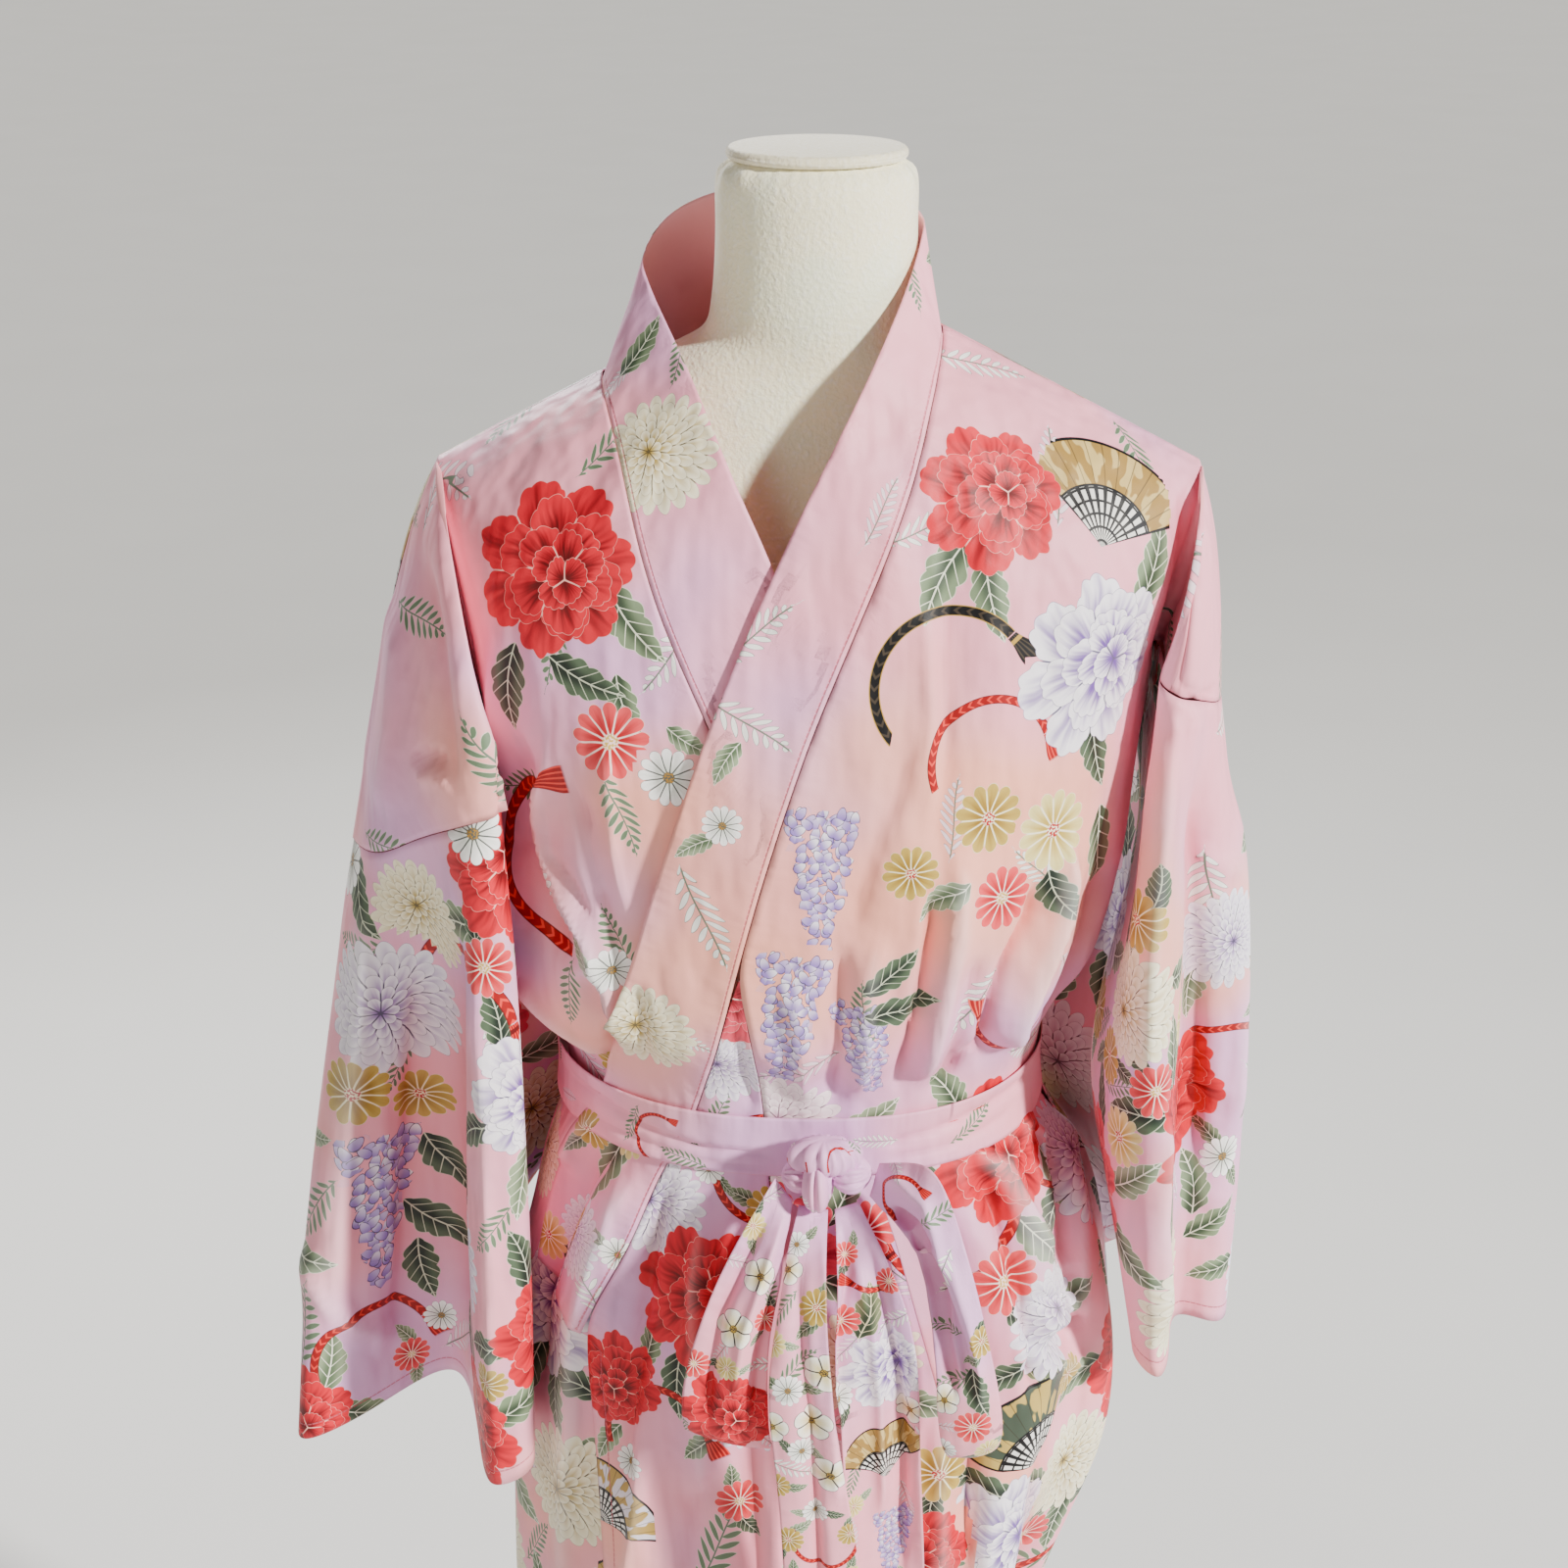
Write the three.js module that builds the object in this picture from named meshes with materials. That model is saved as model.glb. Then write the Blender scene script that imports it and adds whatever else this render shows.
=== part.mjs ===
import * as THREE from 'three';

// A kimono robe, left front over right, tied with its own sash and standing on a limbless dress form.
// Millimetres, +Z up. The front faces -Y and the wearer's left side is +X.
// The origin is the centre of the stand's underside on the floor.
// In the tables, minus and plus are the -X and +X sides; in piece names, left and right are the wearer's own.

// ---- driving sizes ----
const WALL = 1.4;               // cloth wall
const SEAM_PULL = 0.25;         // each sewn edge stops this short of the seam line
const ARMPIT_PULL = 3.2;        // and this short of the point where four pieces meet under the arm
const LAYER = 4.6;              // how far the under front lies inside the top front
const NECK_SIDE_X = 63;         // where the shoulder line meets the neck
const NECK_SIDE_Z = 1417;
const SHOULDER_SLOPE = 0.52;
const SHOULDER_ROUND = 110;     // drop over which the shoulder rounds forward
const HEM_Z = 160;
const BELT_Z = 1010;
const BELT_WIDTH = 35;
const BELT_LIFT = 3.3;          // belt's outer face above the cloth it ties
const BASE_RADIUS = 165;
const BASE_HEIGHT = 12;
const POLE_RADIUS = 14;
const FORM_BOTTOM_Z = 775;
const SECTION_POWER = 2.4;      // squareness of the body's plan outline
const FOLD_SPREAD = 1.6;        // a fold's reach to each side, in its own widths
const FOLD_FADE = 60;           // length over which a fold dies out at its ends

// ---- sections of the worn robe: half widths to each side, depth to front and back ----
const bodySections = [
  { z: 1440, minus: 193, plus: 196, front: 96, back: 96 },
  { z: 1400, minus: 193, plus: 196, front: 99, back: 100 },
  { z: 1350, minus: 192, plus: 196, front: 105, back: 113 },
  { z: 1320, minus: 185, plus: 190, front: 110, back: 117 },
  { z: 1255, minus: 173, plus: 178, front: 124, back: 118 },
  { z: 1195, minus: 170, plus: 171, front: 130, back: 112 },
  { z: 1157, minus: 170, plus: 166, front: 131, back: 106 },
  { z: 1110, minus: 174, plus: 160, front: 129, back: 103 },
  { z: 1070, minus: 172, plus: 149, front: 124, back: 102 },
  { z: 1060, minus: 164, plus: 141, front: 119, back: 99 },
  { z: 1045, minus: 143, plus: 128, front: 110, back: 90 },
  { z: 1010, minus: 139, plus: 124, front: 108, back: 87 },
  { z: 986, minus: 142, plus: 128, front: 110, back: 89 },
  { z: 960, minus: 153, plus: 143, front: 119, back: 99 },
  { z: 935, minus: 160, plus: 156, front: 127, back: 108 },
  { z: 885, minus: 168, plus: 168, front: 136, back: 117 },
  { z: 822, minus: 174, plus: 176, front: 140, back: 124 },
  { z: 764, minus: 177, plus: 170, front: 143, back: 127 },
  { z: 700, minus: 180, plus: 146, front: 144, back: 130 },
  { z: 639, minus: 181, plus: 131, front: 145, back: 132 },
  { z: 520, minus: 183, plus: 132, front: 147, back: 136 },
  { z: 340, minus: 187, plus: 143, front: 149, back: 142 },
  { z: HEM_Z, minus: 191, plus: 152, front: 152, back: 148 },
];

// ---- the crease between the body and each hanging arm part, how far it stays from the side ----
const creaseSections = {
  minus: [{ z: 1360, depth: 42 }, { z: 1300, depth: 42 }, { z: 1250, depth: 38 }, { z: 1215, depth: 22 },
    { z: 1195, depth: 0 }],
  plus: [{ z: 1360, depth: 40 }, { z: 1320, depth: 38 }, { z: 1290, depth: 28 }, { z: 1268, depth: 14 },
    { z: 1255, depth: 0 }],
};

// ---- folds of the body: angle from the front centre (+ to the wearer's left), outward depth ----
const bodyFolds = [
  { angle: 12, drift: 3, width: 7, depth: 5, top: 1240, bottom: 1048 },
  { angle: 30, drift: 2, width: 7, depth: 6, top: 1180, bottom: 1048 },
  { angle: 22, drift: 0, width: 4, depth: -5, top: 1150, bottom: 1048 },
  { angle: 46, drift: 1, width: 6, depth: 7, top: 1200, bottom: 1048 },
  { angle: 60, drift: 2, width: 5, depth: -6, top: 1190, bottom: 1048 },
  { angle: 72, drift: 2, width: 6, depth: 6, top: 1210, bottom: 1048 },
  { angle: -38, drift: -2, width: 6, depth: 5, top: 1240, bottom: 1048 },
  { angle: -52, drift: -1, width: 6, depth: -6, top: 1200, bottom: 1048 },
  { angle: -66, drift: 0, width: 7, depth: 6, top: 1170, bottom: 1048 },
  { angle: 118, drift: 0, width: 7, depth: 6, top: 1190, bottom: 1048 },
  { angle: 140, drift: 2, width: 6, depth: -5, top: 1210, bottom: 1048 },
  { angle: 163, drift: 0, width: 7, depth: 5, top: 1170, bottom: 1048 },
  { angle: -122, drift: 0, width: 7, depth: 6, top: 1190, bottom: 1048 },
  { angle: -143, drift: -2, width: 6, depth: -5, top: 1160, bottom: 1048 },
  { angle: -168, drift: 0, width: 6, depth: 5, top: 1200, bottom: 1048 },
  { angle: 20, drift: 1, width: 8, depth: -9, top: 975, bottom: 240 },
  { angle: 36, drift: 1, width: 9, depth: 11, top: 975, bottom: 160 },
  { angle: 53, drift: 2, width: 7, depth: -9, top: 980, bottom: 420 },
  { angle: 68, drift: 2, width: 8, depth: 9, top: 980, bottom: 160 },
  { angle: 84, drift: 0, width: 6, depth: -7, top: 970, bottom: 500 },
  { angle: -8, drift: 0, width: 9, depth: 5, top: 960, bottom: 300 },
  { angle: -32, drift: 1, width: 8, depth: 5, top: 965, bottom: 420 },
  { angle: -70, drift: 1, width: 7, depth: 6, top: 960, bottom: 160 },
  { angle: 104, drift: 0, width: 8, depth: 9, top: 975, bottom: 160 },
  { angle: 124, drift: 1, width: 7, depth: -8, top: 975, bottom: 380 },
  { angle: 145, drift: 0, width: 9, depth: 10, top: 978, bottom: 160 },
  { angle: 168, drift: -1, width: 8, depth: -8, top: 970, bottom: 300 },
  { angle: -166, drift: 1, width: 9, depth: 9, top: 975, bottom: 160 },
  { angle: -145, drift: 0, width: 7, depth: -8, top: 970, bottom: 420 },
  { angle: -124, drift: 0, width: 9, depth: 10, top: 975, bottom: 160 },
  { angle: -103, drift: 1, width: 7, depth: -7, top: 975, bottom: 300 },
];

// how much deeper the under layer lies below the middle of the top front, clear of its folds
const covering = { before: 46, over: 40, top: 1380, fade: 56, deepFrom: 25, deepOver: 50, sideTurn: -60, sideFade: 30 };
const coveredDepth = [
  { z: 1320, extra: 0 }, { z: 1180, extra: 5 }, { z: 1060, extra: 5 }, { z: 1034, extra: 0 }, { z: 986, extra: 0 },
  { z: 940, extra: 8 }, { z: HEM_Z, extra: 8 },
];

// ---- seam between the collar band and each front, then the edge of each overlap panel ----
const topSeam = [
  { z: 1417, x: 63 }, { z: 1387, x: 53 }, { z: 1350, x: 42 }, { z: 1307, x: 23.5 }, { z: 1271, x: 7 },
  { z: 1233, x: -7 }, { z: 1172, x: -26 }, { z: 1117, x: -40 }, { z: 1073, x: -50 }, { z: 1011, x: -66 },
  { z: 984, x: -82 }, { z: 932, x: -103 }, { z: 885, x: -124 }, { z: 847, x: -121 }, { z: 764, x: -117 },
  { z: 500, x: -111 }, { z: HEM_Z, x: -105 },
];
const underSeam = [
  { z: 1394, x: -107 }, { z: 1376, x: -98 }, { z: 1350, x: -90 }, { z: 1315, x: -81 }, { z: 1280, x: -67 },
  { z: 1233, x: -47 }, { z: 1172, x: -22 }, { z: 1117, x: -2 }, { z: 1073, x: 12 }, { z: 1011, x: 30 },
  { z: 932, x: 52 }, { z: 885, x: 68 }, { z: 764, x: 72 }, { z: 500, x: 78 }, { z: HEM_Z, x: 84 },
];
const COLLAR_END_Z = 885;       // where each band ends on its front edge
const OVERLAP_TOP_Z = 1117;     // where each overlap panel starts as a point
const topOverlapSeam = [{ z: 1117, x: -40 }, { z: 1080, x: -33 }, { z: 1011, x: -25 }, { z: 800, x: -16 },
  { z: HEM_Z, x: -6 }];
const underOverlapSeam = [{ z: 1117, x: -2 }, { z: 1073, x: 2 }, { z: 1011, x: 4 }, { z: 800, x: 2 },
  { z: HEM_Z, x: -2 }];

// ---- free edge of the band beside each height of its seam; y is given only where it stands up ----
const topFree = [
  { seam: 1417, x: 54, z: 1469, stand: 1, y: 4 },
  { seam: 1400, x: 44, z: 1442, stand: 1, y: -38 },
  { seam: 1387, x: 31, z: 1420, stand: 1, y: -64 },
  { seam: 1350, x: 4, z: 1372, stand: 0.6, y: -94 },
  { seam: 1307, x: -19, z: 1329, stand: 0, y: -110 },
  { seam: 1271, x: -37, z: 1287, stand: 0, y: -120 },
  { seam: 1233, x: -53, z: 1247, stand: 0, y: -125 },
  { seam: 1172, x: -73, z: 1187, stand: 0, y: -128 },
  { seam: 1117, x: -90, z: 1130, stand: 0, y: -126 },
  { seam: 1073, x: -102, z: 1085, stand: 0, y: -120 },
  { seam: 1011, x: -113, z: 1021, stand: 0, y: -100 },
  { seam: 984, x: -124, z: 998, stand: 0, y: -95 },
  { seam: 932, x: -146, z: 948, stand: 0, y: -90 },
  { seam: 885, x: -156, z: 902, stand: 0, y: -80 },
];
const underFree = [
  { seam: 1394, x: -87, z: 1448, stand: 1, y: 5 },
  { seam: 1383, x: -77, z: 1427, stand: 1, y: -17 },
  { seam: 1372, x: -62, z: 1408, stand: 1, y: -50 },
  { seam: 1350, x: -47, z: 1380, stand: 0.8, y: -86 },
  { seam: 1315, x: -30, z: 1342, stand: 0.3, y: -103 },
  { seam: 1280, x: -14, z: 1311, stand: 0, y: -108 },
  { seam: 1233, x: 1, z: 1256, stand: 0, y: -116 },
  { seam: 1172, x: 26, z: 1187, stand: 0, y: -120 },
  { seam: 1117, x: 46, z: 1130, stand: 0, y: -120 },
  { seam: 1073, x: 61, z: 1085, stand: 0, y: -112 },
  { seam: 1011, x: 79, z: 1021, stand: 0, y: -100 },
  { seam: 932, x: 100, z: 945, stand: 0, y: -100 },
  { seam: 885, x: 113, z: 900, stand: 0, y: -100 },
];
// free edge of the band behind the neck, by its share of the way from the -X seam to the +X seam
const backFree = [
  { share: 0, x: -87, y: 5, z: 1448 }, { share: 0.12, x: -83, y: 36, z: 1457 }, { share: 0.3, x: -62, y: 66, z: 1469 },
  { share: 0.5, x: -20, y: 79, z: 1475 }, { share: 0.72, x: 25, y: 68, z: 1476 }, { share: 0.9, x: 49, y: 34, z: 1472 },
  { share: 1, x: 54, y: 4, z: 1469 },
];
const NECK_DROP = 30;           // how far the back neck seam lies below the shoulder line
const NECK_DROP_POWER = 1.4;    // how slowly that drop starts beside each shoulder

// ---- the shoulder line past the shoulder tip, and the rings of each sleeve ----
const sides = {
  minus: {
    sign: -1, tip: 193, armpitZ: 1195, armpitX: 170,
    fall: [{ share: 0, x: 193, z: 0 }, { share: 0.25, x: 212, z: 48 }, { share: 0.6, x: 232, z: 128 }, { share: 1, x: 250, z: 212 }],
    lines: {
      armpit: [{ x: 170, y: 0, z: 1195 }, { x: 182, y: 4, z: 1090 }, { x: 174, y: 8, z: 960 }, { x: 194, y: 6, z: 812 }],
      innerFront: [{ x: 167, y: -56, z: 1192 }, { x: 172, y: -56, z: 1080 }, { x: 172, y: -48, z: 950 }, { x: 180, y: -48, z: 806 }],
      frontInner: [{ x: 157, y: -84, z: 1190 }, { x: 150, y: -94, z: 1080 }, { x: 149, y: -98, z: 950 }, { x: 152, y: -96, z: 798 }],
      frontFold: [{ x: 172, y: -95, z: 1187 }, { x: 170, y: -104, z: 1075 }, { x: 172, y: -110, z: 940 }, { x: 177, y: -108, z: 788 }],
      frontOuter: [{ x: 188, y: -84, z: 1178 }, { x: 188, y: -84, z: 1065 }, { x: 190, y: -84, z: 930 }, { x: 188, y: -82, z: 790 }],
      hollow: [{ x: 206, y: -66, z: 1165 }, { x: 203, y: -38, z: 1050 }, { x: 204, y: -18, z: 920 }, { x: 208, y: -8, z: 800 }],
      face: [{ x: 228, y: -50, z: 1150 }, { x: 236, y: -44, z: 1035 }, { x: 248, y: -40, z: 905 }, { x: 258, y: -36, z: 785 }],
      outer: [{ x: 250, y: 0, z: 1137 }, { x: 270, y: -22, z: 1020 }, { x: 289, y: -42, z: 890 }, { x: 300, y: -54, z: 776 }],
      outerBack: [{ x: 246, y: 48, z: 1142 }, { x: 262, y: 36, z: 1025 }, { x: 280, y: 24, z: 895 }, { x: 292, y: 14, z: 780 }],
      back: [{ x: 224, y: 92, z: 1158 }, { x: 236, y: 92, z: 1045 }, { x: 248, y: 88, z: 910 }, { x: 258, y: 82, z: 790 }],
      backFold: [{ x: 192, y: 104, z: 1175 }, { x: 198, y: 112, z: 1060 }, { x: 206, y: 114, z: 925 }, { x: 214, y: 112, z: 798 }],
      innerBack: [{ x: 170, y: 66, z: 1189 }, { x: 177, y: 74, z: 1080 }, { x: 176, y: 76, z: 955 }, { x: 190, y: 74, z: 806 }],
    },
  },
  plus: {
    sign: 1, tip: 196, armpitZ: 1255, armpitX: 178,
    fall: [{ share: 0, x: 196, z: 0 }, { share: 0.3, x: 205, z: 34 }, { share: 0.65, x: 211, z: 78 }, { share: 1, x: 215, z: 124 }],
    lines: {
      armpit: [{ x: 178, y: 0, z: 1255 }, { x: 178, y: 6, z: 1140 }, { x: 152, y: 16, z: 1005 }, { x: 197, y: 6, z: 868 }],
      innerFront: [{ x: 177, y: -42, z: 1253 }, { x: 171, y: -46, z: 1138 }, { x: 154, y: -44, z: 1005 }, { x: 185, y: -46, z: 866 }],
      frontInner: [{ x: 171, y: -66, z: 1251 }, { x: 164, y: -80, z: 1134 }, { x: 160, y: -84, z: 996 }, { x: 177, y: -78, z: 858 }],
      frontFold: [{ x: 180, y: -76, z: 1247 }, { x: 178, y: -92, z: 1130 }, { x: 180, y: -99, z: 990 }, { x: 190, y: -96, z: 852 }],
      frontOuter: [{ x: 191, y: -66, z: 1242 }, { x: 192, y: -72, z: 1124 }, { x: 194, y: -76, z: 984 }, { x: 200, y: -72, z: 850 }],
      hollow: [{ x: 198, y: -52, z: 1236 }, { x: 202, y: -44, z: 1118 }, { x: 204, y: -34, z: 978 }, { x: 208, y: -30, z: 850 }],
      face: [{ x: 208, y: -34, z: 1229 }, { x: 220, y: -36, z: 1110 }, { x: 228, y: -34, z: 970 }, { x: 230, y: -34, z: 846 }],
      outer: [{ x: 215, y: 0, z: 1223 }, { x: 234, y: -6, z: 1100 }, { x: 245, y: -10, z: 962 }, { x: 243, y: -14, z: 840 }],
      outerBack: [{ x: 214, y: 42, z: 1226 }, { x: 232, y: 40, z: 1104 }, { x: 243, y: 38, z: 966 }, { x: 242, y: 34, z: 844 }],
      back: [{ x: 206, y: 84, z: 1234 }, { x: 218, y: 92, z: 1114 }, { x: 226, y: 94, z: 976 }, { x: 226, y: 90, z: 850 }],
      backFold: [{ x: 190, y: 94, z: 1244 }, { x: 198, y: 112, z: 1126 }, { x: 204, y: 114, z: 988 }, { x: 205, y: 110, z: 858 }],
      innerBack: [{ x: 176, y: 60, z: 1252 }, { x: 176, y: 70, z: 1136 }, { x: 160, y: 74, z: 1003 }, { x: 190, y: 72, z: 866 }],
    },
  },
};
const FRONT_LINES = ['armpit', 'innerFront', 'frontInner', 'frontFold', 'frontOuter', 'hollow', 'face', 'outer'];
const BACK_LINES = ['outer', 'outerBack', 'back', 'backFold', 'innerBack', 'armpit'];

// ---- sash: the two edges (a and b) of each strip from the knot outwards ----
const KNOT = { x: 6, y: -130.2, z: 1007, halfWidth: 25, halfDepth: 18, halfHeight: 21 };
const sashStrips = {
  bow_loop_right: {
    crown: 5, loop: true,
    rows: [
      { ax: -20.5, ay: -131, az: 1004, bx: -11.5, by: -131, bz: 991 },
      { ax: -45, ay: -150, az: 968, bx: -16, by: -154, bz: 958 },
      { ax: -62, ay: -161, az: 928, bx: -24, by: -164, bz: 918 },
      { ax: -70, ay: -165, az: 890, bx: -24, by: -169, bz: 878 },
      { ax: -68, ay: -160, az: 866, bx: -20, by: -163, bz: 856 },
      { ax: -58, ay: -151, az: 872, bx: -18, by: -154, bz: 864 },
      { ax: -44, ay: -145, az: 915, bx: -13, by: -147, bz: 908 },
      { ax: -30, ay: -135, az: 955, bx: -9, by: -138, bz: 950 },
      { ax: -18, ay: -122, az: 985, bx: -7, by: -124, bz: 981 },
    ],
  },
  bow_loop_left: {
    crown: 6, loop: true,
    rows: [
      { ax: 28, ay: -131, az: 993, bx: 33, by: -131, bz: 1013 },
      { ax: 44, ay: -152, az: 982, bx: 58, by: -150, bz: 1024 },
      { ax: 56, ay: -164, az: 948, bx: 76, by: -162, bz: 982 },
      { ax: 62, ay: -169, az: 902, bx: 90, by: -168, bz: 925 },
      { ax: 66, ay: -168, az: 862, bx: 99, by: -169, bz: 874 },
      { ax: 74, ay: -159, az: 848, bx: 93, by: -158, bz: 852 },
      { ax: 66, ay: -149, az: 878, bx: 88, by: -148, bz: 884 },
      { ax: 52, ay: -143, az: 930, bx: 74, by: -142, bz: 940 },
      { ax: 40, ay: -133, az: 972, bx: 55, by: -130, bz: 996 },
      { ax: 33, ay: -124, az: 990, bx: 35, by: -124, bz: 1004 },
    ],
  },
  belt_tail_right: {
    crown: 4, loop: false,
    rows: [
      { ax: -8.5, ay: -131, az: 987.9, bx: 7, by: -131, bz: 984.9 },
      { ax: -20, ay: -166, az: 950, bx: 5, by: -168, bz: 950 },
      { ax: -25, ay: -179, az: 905, bx: 8, by: -180, bz: 905 },
      { ax: -20, ay: -181, az: 850, bx: 16, by: -182, bz: 850 },
      { ax: -16, ay: -179, az: 775, bx: 26, by: -180, bz: 775 },
      { ax: -18, ay: -177, az: 700, bx: 26, by: -178, bz: 700 },
      { ax: -16, ay: -176, az: 628, bx: 27, by: -177, bz: 640 },
    ],
  },
  belt_tail_left: {
    crown: -7, loop: false,
    rows: [
      { ax: 10, ay: -131, az: 985.2, bx: 22.5, by: -131, bz: 989.9 },
      { ax: 12, ay: -160, az: 948, bx: 44, by: -158, bz: 952 },
      { ax: 12, ay: -168, az: 905, bx: 54, by: -160, bz: 905 },
      { ax: 14, ay: -169, az: 850, bx: 56, by: -160, bz: 850 },
      { ax: 22, ay: -168, az: 775, bx: 60, by: -161, bz: 775 },
      { ax: 24, ay: -167, az: 700, bx: 62, by: -161, bz: 706 },
      { ax: 26, ay: -167, az: 650, bx: 66, by: -161, bz: 662 },
    ],
  },
};

// ---- dress form: plan sections from its flat bottom to the neck ----
const formSections = [
  { z: FORM_BOTTOM_Z, half: 150, front: 96, back: 100, power: 2.2 },
  { z: 850, half: 155, front: 108, back: 108, power: 2.2 },
  { z: 930, half: 138, front: 104, back: 92, power: 2.2 },
  { z: 1010, half: 113, front: 92, back: 72, power: 2.1 },
  { z: 1060, half: 122, front: 98, back: 80, power: 2.1 },
  { z: 1120, half: 140, front: 108, back: 88, power: 2.1 },
  { z: 1190, half: 152, front: 112, back: 92, power: 2.1 },
  { z: 1250, half: 158, front: 106, back: 100, power: 2.1 },
  { z: 1300, half: 168, front: 92, back: 100, power: 2.1 },
  { z: 1330, half: 178, front: 74, back: 82, power: 2.0 },
  { z: 1350, half: 183, front: 62, back: 68, power: 1.9 },
  { z: 1364, half: 161, front: 55, back: 61, power: 1.8 },
  { z: 1385, half: 119, front: 48, back: 50, power: 1.8 },
  { z: 1400, half: 90.2, front: 45, back: 47, power: 1.8 },
  { z: 1408, half: 73, front: 45, back: 47, power: 1.85 },
  { z: 1415, half: 56.5, front: 45.5, back: 48.5, power: 1.9 },
  { z: 1424, half: 53, front: 46, back: 50, power: 2 },
  { z: 1445, half: 50.5, front: 46, back: 48, power: 2 },
  { z: 1475, half: 49.5, front: 45, back: 46, power: 2 },
  { z: 1500, half: 51, front: 46, back: 46, power: 2 },
];
const NECK_CAP = { bottom: 1500.3, top: 1506, half: 49.5, depth: 44.5, bevel: 3 };

// ---- counts along and across the cloth ----
const YOKE_ROWS = { minus: 8, plus: 6 };        // rows from the shoulder line to each armpit
const lowerRowHeights = [1165, 1140, OVERLAP_TOP_Z, 1090, 1070, 1057, 1044, BELT_Z, 986, 966, 940, 912,
  COLLAR_END_Z, 845, 805, 764, 710, 655, 580, 480, 330, HEM_Z];
const FRONT_COLUMNS = 12;
const NECK_COLUMNS = 8;
const OVERLAP_COLUMNS = 4;
const BAND_COLUMNS = 3;
const SLEEVE_LEVELS = 8;
const BELT_COLUMNS = 48;
const SHOULDER_EASE = 2.2;      // rows crowd towards the shoulder line by this power
const SAMPLES_PER_LINE = 2;
const STRIP_COLUMNS = 4;
const SOLVE_PASSES = 24;
const OVAL_SIDES = 36;
const BASE_SIDES = 48;
const POLE_SIDES = 20;

const clamp = (value, low, high) => Math.min(high, Math.max(low, value));
const smooth = (value) => clamp(value, 0, 1) ** 2 * (3 - 2 * clamp(value, 0, 1));
const mix = (a, b, share) => a + (b - a) * share;
const mixPoints = (a, b, share) => ({ x: mix(a.x, b.x, share), y: mix(a.y, b.y, share), z: mix(a.z, b.z, share) });

// a row of a table at any value of its key column, eased between rows without overshoot
function rowAt(table, key, value) {
  const rows = table[0][key] <= table[table.length - 1][key] ? table : [...table].reverse();
  const at = clamp(value, rows[0][key], rows[rows.length - 1][key]);
  let index = 0;
  while (index < rows.length - 2 && at > rows[index + 1][key]) index += 1;
  const step = (i) => rows[i + 1][key] - rows[i][key];
  const slope = (i, name) => (rows[i + 1][name] - rows[i][name]) / step(i);
  const tangent = (i, name) => {
    if (i === 0) return slope(0, name);
    if (i === rows.length - 1) return slope(i - 1, name);
    const before = slope(i - 1, name);
    const after = slope(i, name);
    return before * after <= 0 ? 0 : (2 * before * after) / (before + after);
  };
  const t = (at - rows[index][key]) / step(index);
  const result = {};
  for (const name of Object.keys(rows[0])) {
    const start = rows[index][name];
    const end = rows[index + 1][name];
    const length = step(index);
    result[name] = start * (1 + 2 * t) * (1 - t) ** 2 + tangent(index, name) * length * t * (1 - t) ** 2
      + end * t * t * (3 - 2 * t) - tangent(index + 1, name) * length * t * t * (1 - t);
  }
  return result;
}

const shoulderZ = (x) => NECK_SIDE_Z - SHOULDER_SLOPE * (Math.abs(x) - NECK_SIDE_X);

// how far the folds push the body's surface out at an angle and height
function foldPush(angle, z) {
  let push = 0;
  for (const fold of bodyFolds) {
    const centre = fold.angle + (fold.drift * (fold.top - z)) / 100;
    const off = Math.abs(((angle - centre + 540) % 360) - 180) / (FOLD_SPREAD * fold.width);
    const fromEnd = fold.bottom <= HEM_Z ? 1 : smooth((z - fold.bottom) / FOLD_FADE);
    if (off < 1) push += fold.depth * Math.cos((Math.PI / 2) * off) ** 2 * smooth((fold.top - z) / FOLD_FADE) * fromEnd;
  }
  return push;
}

// the robe's outer surface; turn runs -90 to 90 from one side to the other, half is -1 in front and 1 behind
function bodyPoint(turn, z, half, cover = 0, lift = 0) {
  const section = rowAt(bodySections, 'z', z);
  const sine = Math.sin((turn * Math.PI) / 180);
  const cosine = Math.cos((turn * Math.PI) / 180);
  const sideName = turn < 0 ? 'minus' : 'plus';
  const width = section[sideName];
  const crease = z > sides[sideName].armpitZ ? rowAt(creaseSections[sideName], 'z', z).depth : 0;
  const depth = half < 0 ? section.front : section.back;
  const x = Math.sign(sine) * width * Math.abs(sine) ** (2 / SECTION_POWER);
  const drop = clamp((shoulderZ(x) - z) / SHOULDER_ROUND, 0, 1);
  const y = (crease + (depth - crease) * cosine) * Math.sqrt(1 - (1 - drop) ** 2);
  const angle = half < 0 ? turn : Math.sign(turn || 1) * 180 - turn;
  const folds = Math.abs(turn) > 89.99 && z > sides[sideName].armpitZ ? 0 : foldPush(angle, z);
  const push = folds * (1 - cover) - coverDepth(x, z) * cover + lift;
  const length = Math.hypot(sine / width, cosine / depth);
  return { x: x + (push * sine) / width / length, y: half * (y + (push * cosine) / depth / length), z };
}
const turnAt = (x, z) => {
  const width = rowAt(bodySections, 'z', z)[x < 0 ? 'minus' : 'plus'];
  return (Math.sign(x) * Math.asin(clamp((Math.abs(x) / width) ** (SECTION_POWER / 2), 0, 1)) * 180) / Math.PI;
};

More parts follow.
